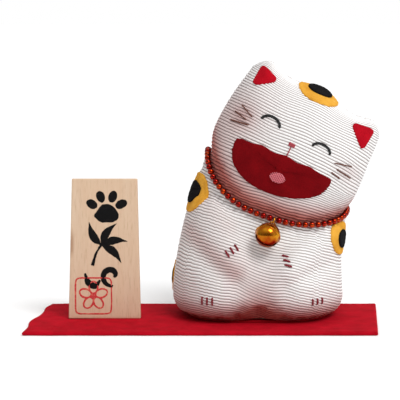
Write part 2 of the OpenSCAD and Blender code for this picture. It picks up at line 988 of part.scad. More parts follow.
module plaque_board() {
    below = 2;
    taper = (plaque_width - plaque_top_width) / 2 / plaque_height;
    color(pale_wood) difference() {
        leaned_back() rotate([90, 0, 0]) translate([0, 0, -plaque_thickness])
            linear_extrude(plaque_thickness)
                polygon([
                    [-plaque_width / 2 - taper * below, -below],
                    [plaque_width / 2 + taper * below, -below],
                    [plaque_top_width / 2, plaque_height],
                    [-plaque_top_width / 2, plaque_height],
                ]);
        translate([plaque_x - plaque_width, plaque_y - plaque_width, mat_thickness - 10])
            cube([2 * plaque_width, 2 * plaque_width, 10]);
    }
}

module plaque_prop() {
    prop_height = 2 * prop_depth;
    back = plaque_thickness / cos(plaque_lean);
    color(pale_wood)
        translate([plaque_x - prop_width / 2, plaque_y + back, mat_thickness])
            rotate([90, 0, 90])
                linear_extrude(prop_width)
                    polygon([
                        [0, 0],
                        [prop_depth, 0],
                        [prop_depth, prop_depth / 4],
                        [prop_height * tan(plaque_lean), prop_height],
                    ]);
}

// a flat shape printed on the board's face, x across and y up the board
module printed() {
    leaned_back() rotate([90, 0, 0]) translate([0, 0, -ink_sink])
        linear_extrude(ink_sink + ink_rise) children();
}

// a brush stroke along a path, with its width at each point
function brushed(path, widths) =
    let(
        last = len(path) - 1,
        sides = [
            for (k = [0:last])
                let(way = path[min(k + 1, last)] - path[max(k - 1, 0)])
                [-way.y, way.x] / norm(way) * widths[k] / 2
        ]
    )
    concat(
        [for (k = [0:last]) path[k] - sides[k]],
        [for (k = [last:-1:0]) path[k] + sides[k]]
    );

// a stroke that is full in the middle and thin at both ends
function leaf(length, width, bow, n = 10) = brushed(
    [for (i = [0:n]) [length * i / n, bow * sin(180 * i / n)]],
    [for (i = [0:n]) 0.2 + width * sin(180 * i / n)]
);

paw_height = 0.8 * plaque_height;
sprig_height = 0.525 * plaque_height;
curl_height = 0.307 * plaque_height;
toe_angles = [-62, -21, 21, 62];
leaf_angles = [-42, 8, 55, 118];

module paw_print() {
    scale([1.2, 1]) circle(4.9);
    for (toe = toe_angles)
        translate([-8.2 * sin(toe), 1.2 + 7.8 * cos(toe)]) rotate(toe) scale([0.72, 1]) circle(3.1);
}

module bamboo_sprig() {
    for (leaf_angle = leaf_angles)
        rotate(leaf_angle) polygon(leaf(13, 4, 1.5));
    polygon(brushed([[-4.5, -10], [-2.6, -4], [0.4, 1]], [1.9, 1.3, 1.2]));
}

module cloud_curl() {
    steps = 16;
    polygon(brushed(
        [
            for (i = [0:steps])
                let(reach = 1.2 + 4.2 * i / steps, turn = 310 * i / steps - 34)
                reach * [cos(turn), sin(turn)]
        ],
        [for (i = [0:steps]) 1.2 + 1.6 * sin(160 * i / steps)]
    ));
    polygon(brushed([[-13.2, 1.2], [-11.5, -3.4], [-8.2, -5], [-5.6, -2.2]], [1, 3.2, 3, 0.8]));
}

// three brush drawings run down the board
module plaque_ink() {
    color(black_felt) printed() {
        translate([1, paw_height - 3.6]) paw_print();
        translate([-1.5, sprig_height]) bamboo_sprig();
        translate([3.5, curl_height]) cloud_curl();
    }
}

// a red square with a plain flower in it
module plaque_seal() {
    frame_width = 0.8;
    corner = 1.5;
    petal_count = 5;
    petal = leaf(0.3 * seal_size, 3.6, 0);
    petal_clear = 1.4;
    low_left = [-plaque_width / 2 + plaque_edge + 1, plaque_edge];
    color("crimson") printed() translate(low_left) {
        difference() {
            translate([corner, corner]) offset(r = corner) square(seal_size - 2 * corner);
            translate([corner, corner]) offset(r = corner - frame_width) square(seal_size - 2 * corner);
        }
        translate([seal_size / 2, seal_size / 2])
            for (k = [0:petal_count - 1])
                rotate(90 + 360 * k / petal_count) translate([petal_clear, 0]) polygon(petal);
    }
}

mat();
front_cover();
back_cover();
sole();
base_board();
ballast_bag();
wadding();
tail();
left_ear_lining();
right_ear_lining();
left_eye();
right_eye();
nose();
mouth_felt();
tongue();
left_whiskers();
right_whiskers();
hand_claws();
foot_claws();
crown_spot();
crown_spot_centre();
left_shoulder_spot();
left_shoulder_centre();
right_shoulder_spot();
right_shoulder_centre();
left_hip_spot();
left_hip_centre();
right_hip_spot();
right_hip_centre();
collar_string();
collar_beads();
collar_knot();
jump_ring();
bell_loop();
bell_upper_shell();
bell_lower_shell();
bell_pellet();
plaque_board();
plaque_prop();
plaque_ink();
plaque_seal();
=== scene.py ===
import json
import math

import bpy
import numpy as np
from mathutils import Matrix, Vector


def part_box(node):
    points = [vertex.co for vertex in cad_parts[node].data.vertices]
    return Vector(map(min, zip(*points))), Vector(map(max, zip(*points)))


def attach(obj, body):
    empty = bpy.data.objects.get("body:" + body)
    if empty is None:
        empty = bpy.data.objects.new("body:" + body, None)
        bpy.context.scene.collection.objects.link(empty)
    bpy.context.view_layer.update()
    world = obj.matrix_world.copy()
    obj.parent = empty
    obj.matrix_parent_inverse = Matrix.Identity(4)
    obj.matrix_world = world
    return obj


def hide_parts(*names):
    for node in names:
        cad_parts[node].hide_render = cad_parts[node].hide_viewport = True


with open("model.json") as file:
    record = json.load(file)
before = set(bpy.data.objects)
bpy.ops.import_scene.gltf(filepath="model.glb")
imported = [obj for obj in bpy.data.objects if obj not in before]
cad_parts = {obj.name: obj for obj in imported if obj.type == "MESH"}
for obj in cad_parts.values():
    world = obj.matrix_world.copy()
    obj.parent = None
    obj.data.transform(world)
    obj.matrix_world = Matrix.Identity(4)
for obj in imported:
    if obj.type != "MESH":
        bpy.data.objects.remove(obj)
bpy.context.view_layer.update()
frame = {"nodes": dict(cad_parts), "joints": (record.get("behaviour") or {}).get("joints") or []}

# ---- Camera
# It stands straight in front of the object and a little above it, and looks slightly down.

mat_low, mat_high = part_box("mat")
sole_low, sole_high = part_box("sole")
eye_distance = 0.8
eye_tilt = math.radians(6.5)
look_height, look_back = 0.0588, 0.0013
look_at = Vector((0, (sole_low.y + sole_high.y) / 2 + look_back, look_height))
camera_data = bpy.data.cameras.new("camera")
camera_data.lens = 144
camera_data.sensor_width = 36
camera = bpy.data.objects.new("camera", camera_data)
camera.location = look_at + eye_distance * Vector((0, -math.cos(eye_tilt), math.sin(eye_tilt)))
camera.rotation_euler = (math.radians(90) - eye_tilt, 0, 0)
bpy.context.scene.collection.objects.link(camera)
bpy.context.scene.camera = camera

# ---- Stuffed body of ribbed crepe
# Two panels of white polyester crepe, woven with raised weft ribs, are sewn together along the
# sides and over the crown, turned and stuffed hard with wadding. The collar nips in the neck.

mm = 0.001
crepe_rib, crepe_rib_height = 1.45, 0.42
crepe_columns = 320
crepe_rows = 520
mat_top = mat_high.z / mm
cat_x = (sole_low.x + sole_high.x) / 2 / mm
back_fullness = 0.9
cat_y = sole_low.y / mm + (sole_high.y - sole_low.y) / mm / (1 + back_fullness)

body_height = 64
head_height = 50.8
figure_height = body_height + head_height
hip_width, chest_width, neck_width, cheek_width, ear_width = 83, 78.6, 75.2, 76, 70.6
hip_depth, chest_depth, neck_depth, face_depth, crown_depth = 71, 60, 57, 65, 54
widths = np.array([
    [-10, hip_width / 2], [0.2 * body_height, hip_width / 2], [0.62 * body_height, chest_width / 2],
    [body_height, neck_width / 2], [body_height + 0.4 * head_height, cheek_width / 2],
    [figure_height, ear_width / 2], [figure_height + 12, ear_width / 2],
])
depths = np.array([
    [-10, hip_depth / 2 - 1], [0, hip_depth / 2 - 1], [0.3 * body_height, hip_depth / 2],
    [0.66 * body_height, chest_depth / 2], [body_height - 5, neck_depth / 2],
    [body_height + 0.38 * head_height, face_depth / 2], [figure_height, crown_depth / 2],
    [figure_height + 12, crown_depth / 2],
])
squareness = 2.5
crown_curve = 2.3
crown_drop = 24
foot_radius = 11
lean_start, lean_degrees, lean_radius = 11, 30, 168
sole_thickness = 1


def through(points, x):
    """The smooth curve through a list of points, at x."""
    x = np.asarray(x, float)
    px, py = points[:, 0], points[:, 1]
    before = np.maximum(np.arange(len(px)) - 1, 0)
    after = np.minimum(np.arange(len(px)) + 1, len(px) - 1)
    slopes = (py[after] - py[before]) / (px[after] - px[before])
    i = np.clip(np.searchsorted(px, x, "right") - 1, 0, len(px) - 2)
    run = px[i + 1] - px[i]
    t = (x - px[i]) / run
    return ((2 * t**3 - 3 * t**2 + 1) * py[i] + (t**3 - 2 * t**2 + t) * run * slopes[i]
            + (3 * t**2 - 2 * t**3) * py[i + 1] + (t**3 - t**2) * run * slopes[i + 1])


def swell(x):
    """A soft bump: 1 at 0, and gone by 2 to either side."""
    return np.exp(-np.asarray(x, float)**2)


def unit(v):
    """Vectors brought to length one."""
    v = np.asarray(v, float)
    return v / np.maximum(np.linalg.norm(v, axis=-1, keepdims=True), 1e-9)


def foot_in(s):
    """How far the rounded foot draws the body in."""
    q = np.clip((foot_radius - s) / foot_radius, 0, 1)
    return foot_radius * (1 - np.sqrt(1 - q * q))


def half_width(s):
    """Half the body's width at a height."""
    return through(widths, s) - foot_in(s)


def half_depth(s):
    """Half the body's depth in front at a height."""
    return through(depths, s) - foot_in(s)


def top_height(share):
    """Height of the crown seam, with the two ears and the rise between them."""
    return (figure_height + 2.4 * swell((np.abs(share) - 0.86) / 0.18) + 2.8 * swell(share / 0.26)
            - 5 * np.maximum(0, (np.abs(share) - 0.8) / 0.2)**2)


def plan_depth(share):
    """Share of the depth at a share of the width, in plan."""
    return np.maximum(0, 1 - np.minimum(1, np.abs(share))**squareness)**(1 / squareness)


def crown_close(share, s):
    """How the depth closes to the crown seam."""
    t = np.clip((top_height(share) - s) / crown_drop, 0, 1)
    return (1 - (1 - t)**crown_curve)**(1 / crown_curve)


def collar_height(share, side):
    """Height of the collar's crease, which hangs lower in front."""
    fall = np.where(side < 0, 16.4, 3)
    return body_height + 4 - 2.3 * share - fall * plan_depth(share)**1.6


def off_line(a, s, start, end):
    """Distance from a line between two places."""
    run = np.array(end, float) - np.array(start, float)
    t = np.clip(((a - start[0]) * run[0] + (s - start[1]) * run[1]) / (run @ run), 0, 1)
    return np.hypot(a - start[0] - t * run[0], s - start[1] - t * run[1])


def limbs(a, s):
    """How far the stuffed arms and thighs stand off the belly."""
    arm = off_line(np.abs(a), s, (30, 48), (14, 29))
    thigh = off_line(np.abs(a), s, (24, 12), (24, 17))
    return 3 * swell(arm / 8) + 3.2 * swell(thigh / 11)


def leaned(p):
    """Bends a straight point over to the side and sets it on the mat."""
    a, b, s = p[..., 0], p[..., 1], p[..., 2]
    out = lean_radius - a
    arc = np.clip((s - lean_start) / lean_radius, 0, math.radians(lean_degrees))
    beyond = np.maximum(0, s - lean_start - lean_radius * math.radians(lean_degrees))
    return np.stack([
        cat_x + lean_radius - out * np.cos(arc) + beyond * np.sin(arc),
        cat_y + b,
        mat_top + np.minimum(s, lean_start) + out * np.sin(arc) + beyond * np.cos(arc),
    ], -1)


def straight_skin(share, s, side):
    """A point of the plain form, before it leans over."""
    nip = 1.6 * swell((s - collar_height(share, side)) / 4.5)
    a = share * (half_width(s) - 1.2 * nip)
    fullness = np.where(
        side < 0, half_depth(s) - nip + limbs(a, s), back_fullness * half_depth(s) - nip)
    b = side * fullness * plan_depth(share) * crown_close(share, s)
    return np.stack([a, b, s + 0 * a], -1)


def skin(share, s, side):
    """A point of the plain form where it stands."""
    return leaned(straight_skin(share, s, side))


def around(turn):
    """Share of the half width and side, at a turn in degrees: 0 right, 90 behind, 270 in front."""
    c = np.cos(np.radians(turn))
    side = np.where(np.sin(np.radians(turn)) < -1e-9, -1, 1)
    return np.sign(c) * np.abs(c)**(2 / squareness), side


def turn_of(share, side):
    """The turn in degrees, the other way round."""
    angle = np.degrees(np.arccos(np.clip(np.sign(share) * np.abs(share)**(squareness / 2), -1, 1)))
    return np.where(side < 0, 360 - angle, angle)


# heights up the body are spaced by the cloth's own length, which runs on over the crown
ladder_s = foot_radius + (figure_height - foot_radius) * np.linspace(0, 1, 4001)
ladder_b = half_depth(ladder_s) * crown_close(0, ladder_s)
ladder_run = np.concatenate([[0], np.cumsum(np.hypot(np.diff(ladder_s), np.diff(ladder_b)))])
ladder_run /= ladder_run[-1]
foot_share = 0.085
first_turn = math.acos((foot_radius - sole_thickness) / foot_radius)


def height_at(t, share):
    """Height of a row, t from 0 at the sole to 1 at the crown seam."""
    foot_turn = first_turn + (math.pi / 2 - first_turn) * np.minimum(1, t / foot_share)
    low = foot_radius * (1 - np.cos(foot_turn))
    u = np.clip((t - foot_share) / (1 - foot_share), 0, 1)
    rise = (np.interp(u, ladder_run, ladder_s) - foot_radius) / (figure_height - foot_radius)
    return np.where(t < foot_share, low, foot_radius + (top_height(share) - foot_radius) * rise)


def row_of(s, share):
    """The row at a height, the other way round."""
    rise = (s - foot_radius) / (top_height(share) - foot_radius)
    upper = np.interp(foot_radius + rise * (figure_height - foot_radius), ladder_s, ladder_run)
    turn = np.arccos(np.clip(1 - s / foot_radius, 0, 1))
    lower = foot_share * (turn - first_turn) / (math.pi / 2 - first_turn)
    return np.where(s < foot_radius, lower, foot_share + (1 - foot_share) * upper)


def body_grid(columns, rows):
    """Turn, row and point of every grid point, row by row from the sole to the crown."""
    turns = np.arange(columns) * 360 / columns
    t, turn = np.meshgrid(np.linspace(0, 1, rows), turns, indexing="ij")
    share, side = around(turn)
    s = height_at(t, share)
    return t, turn, share, side, s, skin(share, s, side)


def body_faces(columns, rows):
    """Faces of that grid, with the last row joined front to back along the crown seam."""
    def at(k, i):
        i %= columns
        return k * columns + (columns - i if k == rows - 1 and i > columns // 2 else i)
    faces = []
    for k in range(rows - 1):
        for i in range(columns):
            loop = [at(k, i), at(k, i + 1), at(k + 1, i + 1), at(k + 1, i)]
            faces.append([v for n, v in enumerate(loop) if v not in loop[:n]])
    centre = rows * columns
    faces += [[at(0, i + 1), at(0, i), centre] for i in range(columns)]
    return faces


def grid_normals(p):
    """Outward normals of a body grid of points."""
    return unit(np.cross(np.roll(p, -1, 1) - np.roll(p, 1, 1), np.gradient(p, axis=0)))


def new_object(name, points, faces, scale=mm):
    """A mesh object of points in millimetres, placed in the scene."""
    mesh = bpy.data.meshes.new(name)
    mesh.from_pydata([tuple(scale * float(c) for c in p) for p in np.asarray(points)], [], faces)
    thing = bpy.data.objects.new(name, mesh)
    bpy.context.scene.collection.objects.link(thing)
    return thing


def mesh_piece(name, points, faces, body):
    """A smooth mesh of points in millimetres that rides on a body."""
    piece = new_object(name, points, faces)
    piece.data.validate()
    piece.data.shade_smooth()
    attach(piece, body)
    return piece


coarse_rows, coarse_columns = 52, 88
trial_scale = 10 * mm        # the cloth solver holds still better on a larger copy


def stuffed_swelling(deflate=0.9, least=-0.8, most=1.7, steps=21):
    """Blows a coarse copy of the body up as cloth and returns how far each point swells."""
    t, turn, share, side, s, p = body_grid(coarse_columns, coarse_rows)
    normal = grid_normals(p)
    held = np.maximum(swell((s - collar_height(share, side)) / 3), np.maximum(0, 1 - t / 0.04))
    inset = deflate * (1 - held)
    start = p - normal * inset[..., None]
    points = np.vstack([start.reshape(-1, 3), start[0].mean(0)])
    trial = new_object("swelling", points, body_faces(coarse_columns, coarse_rows), trial_scale)
    pins = trial.vertex_groups.new(name="held")
    for i, grip in enumerate(held.ravel()):
        if grip > 0.1:
            pins.add([i], float(grip), "REPLACE")
    pins.add([len(points) - 1], 1, "REPLACE")
    cloth = trial.modifiers.new("cloth", "CLOTH")
    cloth.settings.use_pressure = True
    cloth.settings.uniform_pressure_force = 4
    cloth.settings.vertex_group_mass = "held"
    cloth.settings.effector_weights.gravity = 0
    cloth.settings.shrink_min = -0.05
    cloth.settings.tension_stiffness = 15
    cloth.settings.compression_stiffness = 15
    cloth.settings.bending_stiffness = 0.3
    cloth.settings.quality = 6
    scene = bpy.context.scene
    for step in range(1, steps + 1):
        scene.frame_set(step)
    shaped = trial.evaluated_get(bpy.context.evaluated_depsgraph_get()).to_mesh()
    after = np.zeros(3 * len(shaped.vertices), np.float32)
    shaped.vertices.foreach_get("co", after)
    after = after.reshape(-1, 3)[:-1].reshape(coarse_rows, coarse_columns, 3) / trial_scale
    bpy.data.objects.remove(trial)
    scene.frame_set(1)
    moved = ((after - start) * normal).sum(-1)
    moved[-1] = moved[-2]
    return np.clip(moved, least, most) - inset


swelling = stuffed_swelling()


def puff(t, turn):
    """The swelling at a row and turn, between the coarse grid's points."""
    rows, columns = swelling.shape
    y = np.clip(t, 0, 1) * (rows - 1)
    x = (turn % 360) / 360 * columns
    j, i = np.minimum(y.astype(int), rows - 2), x.astype(int) % columns
    fy, fx = y - j, x - np.floor(x)
    fy, fx = fy * fy * (3 - 2 * fy), fx * fx * (3 - 2 * fx)
    k = (i + 1) % columns
    return ((1 - fy) * ((1 - fx) * swelling[j, i] + fx * swelling[j, k])
            + fy * ((1 - fx) * swelling[j + 1, i] + fx * swelling[j + 1, k]))


def under_bell(a, s, side):
    """Where the bell hangs and swings, it keeps the cloth from swelling."""
    return np.where(side < 0, swell(a / 13) * swell((s - 46) / 9), 0)

def folds(a, s, side):
    """Soft folds where the arms press on the belly and the body sits down on its feet."""
    front = np.where(side < 0, np.clip(1 - (np.abs(a) / half_width(s))**6, 0, 1), 0.0)
    arm = swell(off_line(np.abs(a), s, (30, 46), (13, 30)) / 6)
    under_arm = swell(off_line(np.abs(a), s, (35, 32), (12, 20)) / 4)
    above_arm = swell(off_line(np.abs(a), s, (21, 51), (4, 35)) / 4.5)
    between_legs = swell(a / 7) * swell((s - 8) / 12)
    return front * (0.9 * arm - 1.2 * under_arm - 0.8 * above_arm - 1.6 * between_legs
                    - 0.35 * under_bell(a, s, side))


def swollen(t, turn, a, s, side):
    """How far the stuffed cloth stands off the plain form, folds and all."""
    return puff(t, turn) * (1 - 0.97 * under_bell(a, s, side)) + folds(a, s, side)


def cloth(share, s, side):
    """A point on the stuffed cloth, smooth between its ribs."""
    share, s = np.asarray(share, float), np.asarray(s, float)
    side = np.asarray(side)
    step, climb = 0.012, 0.4
    across = (skin(np.clip(share + step, -1, 1), s, side)
              - skin(np.clip(share - step, -1, 1), s, side))
    up = skin(share, s + climb, side) - skin(share, s - climb, side)
    n = unit(np.cross(across, up) * np.where(side < 0, 1, -1)[..., None])
    a = straight_skin(share, s, side)[..., 0]
    lift = swollen(row_of(s, share), turn_of(share, side), a, s, side)
    return skin(share, s, side) + n * lift[..., None]


def low_waves(rng, x, y, count, height, reaches):
    """Long low waves that run every way, so that a surface isn't stiff."""
    total = np.zeros_like(x)
    for wave in range(count):
        way, start, reach = rng.uniform(-1, 1, 2), rng.uniform(0, 6.28), rng.uniform(*reaches)
        total += height * np.sin((way[0] * x + way[1] * y) / reach * 6.28 + start)
    return total


t, turn, share, side, s, p = body_grid(crepe_columns, crepe_rows)
straight = straight_skin(share, s, side)
a = straight[..., 0]
p = p + grid_normals(p) * swollen(t, turn, a, s, side)[..., None]

# the ribs follow the cloth's length from the neck; on the head they run further aslant
climb = np.linalg.norm(np.diff(p, axis=0), axis=-1)
length = np.vstack([np.zeros(crepe_columns), np.cumsum(climb, 0)])
neck_length = np.array([np.interp(body_height, s[:, i], length[:, i])
                        for i in range(crepe_columns)])
head = np.clip((s - body_height) / 12, 0, 1)
slant = head * (0.09 * a + 0.003 * np.maximum(0, a)**2)
hip_sag = 3.5 * swell((a + 42) / 18) * swell((s - 17) / 18)
waver = low_waves(np.random.default_rng(7), a, s, 7, 0.1, (9, 26))
rib_run = ((length - neck_length) + slant + hip_sag + waver) / crepe_rib
rib = np.cos(2 * np.pi * rib_run)

# the side seam draws the cloth in and puckers it
seam_draw, pucker_pitch, gathers = 0.7, 3.3, 61
from_seam = np.abs(straight[..., 1])
seam = swell(from_seam / 1.3)
pucker = (swell(from_seam / 5) * np.sin(length / pucker_pitch * 2 * np.pi)
          * np.where(side < 0, 1, -1))
collar_gather = (swell((s - collar_height(share, side) + 4) / 5)
                 * np.sin(turn / 360 * 2 * np.pi * gathers))
lift = (crepe_rib_height / 2 * rib * (1 - 0.7 * seam) - seam_draw * seam + 0.12 * pucker
        + 0.1 * collar_gather)
p = p + grid_normals(p) * lift[..., None]
p[-1] = (p[-1] + p[-1][(-np.arange(crepe_columns)) % crepe_columns]) / 2
points = np.vstack([p.reshape(-1, 3), [cat_x, cat_y, mat_top + sole_thickness - 0.1]])
crepe_body = mesh_piece("crepe_body", points, body_faces(crepe_columns, crepe_rows), "cat")


def put_values(piece, name, values):
    """Stores one number for each point of a mesh, for its material to read."""
    values = np.asarray(values, float).ravel()
    values = np.concatenate([values, np.zeros(len(piece.data.vertices) - len(values))])
    store = piece.data.attributes.new(name, "FLOAT", "POINT").data
    store.foreach_set("value", values.astype(np.float32))


put_values(crepe_body, "rib_run", rib_run)
# painted shade: a rosy brown darkens the cloth under the chin, on the left cheek, beside the arms,
# between the legs, faintly on the belly and round the feet, where shade falls and the red mat
# throws light up; only the pink beside the whiskers is real sprayed blush
in_front = np.where(side < 0, 1.0, 0.35)
above_collar = s - collar_height(share, side)
chin = swell((above_collar - 3) / 8.5) * (above_collar > -1.5) * in_front
left_cheek = swell((a + 34) / 17) * swell((s - 84) / 20) * in_front
arm_side = (swell(off_line(a, s, (-36, 38), (-13, 25)) / 4.5)
            + 0.5 * swell(off_line(a, s, (-34, 52), (-20, 44)) / 6)) * in_front
low_down = np.clip((14 - s) / 12, 0, 1)**1.2
leg_gap = swell(a / 11) * swell((s - 9) / 12) * in_front
belly = swell((a + 8) / 20) * swell((s - 26) / 15) * in_front
whisker_side = (swell((a + 29) / 6) * swell((s - 90) / 5)
                + 0.7 * swell((a - 27) / 6) * swell((s - 88) / 5)) * in_front
painted_shade_and_blush = (1.0 * chin + 0.36 * left_cheek + 0.36 * arm_side + 1.0 * low_down
         + 0.5 * leg_gap + 0.3 * whisker_side + 0.16 * belly)
put_values(crepe_body, "painted_shade_and_blush", np.clip(painted_shade_and_blush, 0, 1))
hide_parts("front_cover", "back_cover", "wadding")


def colour(text):
    """A hex sRGB colour as linear numbers."""
    parts = [int(text[i:i + 2], 16) / 255 for i in (0, 2, 4)]
    return [c / 12.92 if c <= 0.04045 else ((c + 0.055) / 1.055)**2.4 for c in parts] + [1.0]


def add(material, kind, settings=(), links=()):
    """Adds one node, sets its properties and sockets, and links its inputs."""
    node = material.node_tree.nodes.new(kind)
    for name, value in dict(settings).items():
        if isinstance(name, str) and hasattr(node, name):
            setattr(node, name, value)
        else:
            node.inputs[name].default_value = value
    for name, source in dict(links).items():
        material.node_tree.links.new(source, node.inputs[name])
    return node

def new_material(name, **sockets):
    """A material with one shader, and its constant sockets set."""
    material = bpy.data.materials.new(name)
    material.use_nodes = True
    shader = material.node_tree.nodes["Principled BSDF"]
    for socket, value in sockets.items():
        shader.inputs[socket.replace("_", " ")].default_value = value
    return material


def drive(material, socket, source):
    """Links a value or a colour to one of the shader's sockets."""
    shader = material.node_tree.nodes["Principled BSDF"]
    material.node_tree.links.new(source, shader.inputs[socket])


def noise(material, scale, detail=2.0, distortion=0.0, place=None):
    """A noise pattern fixed to the object."""
    place = place or add(material, "ShaderNodeTexCoord").outputs["Object"]
    settings = {"Scale": scale, "Detail": detail, "Distortion": distortion}
    return add(material, "ShaderNodeTexNoise", settings, {"Vector": place}).outputs["Fac"]


def ranged(material, value, low, high, to_low=0.0, to_high=1.0):
    """A value spread from one range over another, and held at its ends."""
    settings = {"From Min": low, "From Max": high, "To Min": to_low, "To Max": to_high}
    return add(material, "ShaderNodeMapRange", settings, {"Value": value}).outputs[0]


def sum_of(material, operation, *terms):
    """One sum on numbers and sockets."""
    numbers = {k: term for k, term in enumerate(terms) if isinstance(term, (int, float))}
    sockets = {k: term for k, term in enumerate(terms) if k not in numbers}
    return add(material, "ShaderNodeMath", {"operation": operation, **numbers}, sockets).outputs[0]


def blend(material, share, first, second):
    """Goes from a first colour to a second; each is a hex text or a socket."""
    settings, links = {"data_type": "RGBA"}, {0: share}
    for socket, tint in ((6, first), (7, second)):
        if isinstance(tint, str):
            settings[socket] = colour(tint)
        else:
            links[socket] = tint
    return add(material, "ShaderNodeMix", settings, links).outputs[2]


def emboss(material, height, strength, distance):
    """Raises the fine grain of a surface."""
    bump = add(material, "ShaderNodeBump", {"Strength": strength, "Distance": distance},
               {"Height": height})
    drive(material, "Normal", bump.outputs[0])


# Polyester crepe, woven in ribs: the crinkled thread breaks every highlight up, so the cloth looks
# matt with a faint sheen. Painted shade: the colour darkens into the grooves between the ribs.
crepe = new_material("woven_white_crepe", Roughness=0.85, Sheen_Weight=0.05,
                     Specular_IOR_Level=0.25)
ribs = add(crepe, "ShaderNodeAttribute", {"attribute_name": "rib_run"}).outputs["Fac"]
shade_and_blush_amount = add(crepe, "ShaderNodeAttribute", {"attribute_name": "painted_shade_and_blush"}).outputs["Fac"]
wave = sum_of(crepe, "COSINE", sum_of(crepe, "MULTIPLY", ribs, 2 * math.pi))
groove_shade = ranged(crepe, wave, 0.0, -1.0)
# painted shade: dark in each groove, and rosy brown where the painted shade (and the whisker blush) is
# laid on
drive(crepe, "Base Color", blend(crepe, shade_and_blush_amount, blend(crepe, groove_shade, "f6f5f4", "9a8f8c"),
                                 blend(crepe, groove_shade, "b2645b", "6a2f29")))
grain, crinkle = noise(crepe, 2600.0), noise(crepe, 700.0, 3.0)
emboss(crepe, sum_of(crepe, "MULTIPLY_ADD", crinkle, 0.6, grain), 0.35, 0.0002)
crepe_body.data.materials.append(crepe)

# ---- Red felt sole
# A disc of wool felt closes the bottom of the body, glued over the turned-in edge of the crepe.

def ring_faces(rings, sides, close=False):
    """Faces between rings of points, each ring with as many points as there are sides."""
    faces = []
    for k in range(rings if close else rings - 1):
        m = (k + 1) % rings
        for i in range(sides):
            j = (i + 1) % sides
            faces.append([k * sides + i, k * sides + j, m * sides + j, m * sides + i])
    return faces


def end_faces(rings, sides):
    """The flat faces that close the first and the last ring."""
    return [list(range(sides))[::-1], [(rings - 1) * sides + i for i in range(sides)]]


def turned_over(faces):
    """The same faces, seen from their other side."""
    return [face[::-1] for face in faces]


sole_columns = 96
sole_share, sole_side = around(np.arange(sole_columns) * 360 / sole_columns)
sole_edge = skin(sole_share, np.full(sole_columns, float(sole_thickness)), sole_side)[:, :2]
sole_middle = np.array([cat_x, cat_y])
sole_profile = [(0.3, 0), (0.65, 0), (0.97, 0), (0.995, 0.12), (1.004, 0.5), (0.995, 0.9),
                (0.97, 1), (0.65, 1), (0.3, 1)]
sole_rings = []
for reach, height in sole_profile:
    ring = sole_middle + (sole_edge - sole_middle) * reach
    level = np.full(sole_columns, mat_top + height * sole_thickness)
    sole_rings.append(np.column_stack([ring, level]))
under_middle, over_middle = [*sole_middle, mat_top], [*sole_middle, mat_top + sole_thickness]
sole_points = np.vstack(sole_rings + [[under_middle], [over_middle]])
sole_faces = ring_faces(len(sole_rings), sole_columns)
last_ring = (len(sole_rings) - 1) * sole_columns
for i in range(sole_columns):
    j = (i + 1) % sole_columns
    sole_faces.append([j, i, len(sole_points) - 2])
    sole_faces.append([last_ring + i, last_ring + j, len(sole_points) - 1])
felt_sole = mesh_piece("felt_sole", sole_points, sole_faces, "cat")
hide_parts("sole")


def felt_material(name, light, dark, fuzz=0.04):
    """Pressed felt: fibres with no direction scatter light, so it is matt with a soft rim,
    clouded by uneven dyeing and flecked by single fibres."""
    material = new_material(name, Roughness=0.95, Sheen_Weight=fuzz, Sheen_Roughness=0.5,
                            Sheen_Tint=colour(light), Specular_IOR_Level=0.08)
    cloud, fibre = noise(material, 140.0, 4.0), noise(material, 1500.0, 4.0, 2.5)
    shade = ranged(material, sum_of(material, "MULTIPLY_ADD", fibre, 0.45, cloud), 0.45, 1.0)
    drive(material, "Base Color", blend(material, shade, dark, light))
    emboss(material, fibre, 0.6, 0.0003)
    return material


red_felt = felt_material("pressed_red_felt", "bb0a1e", "a00618")
felt_sole.data.materials.append(red_felt)

# ---- Card and ballast inside the base
# A stiff grey card keeps the foot flat, and a cotton pouch of pellets on it weighs the foot down.

card_low, card_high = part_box("base_board")
bag_low, bag_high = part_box("ballast_bag")
card = new_material("grey_board", Roughness=0.9)
drive(card, "Base Color", blend(card, noise(card, 900.0, 5.0), "a79c88", "c9bfa9"))
frame["nodes"]["base_board"].data.materials.clear()
frame["nodes"]["base_board"].data.materials.append(card)

bag_columns, bag_rows = 72, 14
bag_middle = np.array([(bag_low.x + bag_high.x) / 2, (bag_low.y + bag_high.y) / 2]) / mm
bag_half = np.array([bag_high.x - bag_low.x, bag_high.y - bag_low.y]) / 2 / mm
bag_height = (bag_high.z - bag_low.z) / mm


def signed_power(x, power):
    """A power of a number that keeps its sign."""
    return np.sign(x) * abs(x)**power


bag_points = []
for k in range(bag_rows + 1):
    rise = math.pi * k / bag_rows
    level = 0.5 - 0.5 * signed_power(math.cos(rise), 0.6)
    reach = abs(math.sin(rise))**0.35 * 0.985
    for i in range(bag_columns):
        turn = 2 * math.pi * i / bag_columns
        lump = 0.25 * math.sin(9 * turn + 3 * k) * math.sin(7 * turn - 2 * k) * math.sin(rise)
        corner = np.array([signed_power(math.cos(turn), 0.8), signed_power(math.sin(turn), 0.8)])
        height = bag_low.z / mm + 0.2 + (bag_height - 0.6) * level + (lump if 0.2 < level else 0)
        bag_points.append([*(bag_middle + corner * (bag_half * reach - abs(lump))), height])
pellet_pouch = mesh_piece("pellet_pouch", bag_points, ring_faces(bag_rows + 1, bag_columns), "cat")
# Plain cotton: coarse threads that cross over and under give a fine chequered, matt face.
pouch_cotton = new_material("plain_woven_cotton", Roughness=0.9)
place = add(pouch_cotton, "ShaderNodeTexCoord").outputs["Object"]
checks = {"Scale": 1200.0, "Color1": colour("b9ae97"), "Color2": colour("a3977f")}
threads = add(pouch_cotton, "ShaderNodeTexChecker", checks, {"Vector": place})
drive(pouch_cotton, "Base Color", threads.outputs["Color"])
pellet_pouch.data.materials.append(pouch_cotton)
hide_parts("ballast_bag")

# ---- Tail
# A stuffed stub of the same crepe is sewn to the back, low down and in the middle.


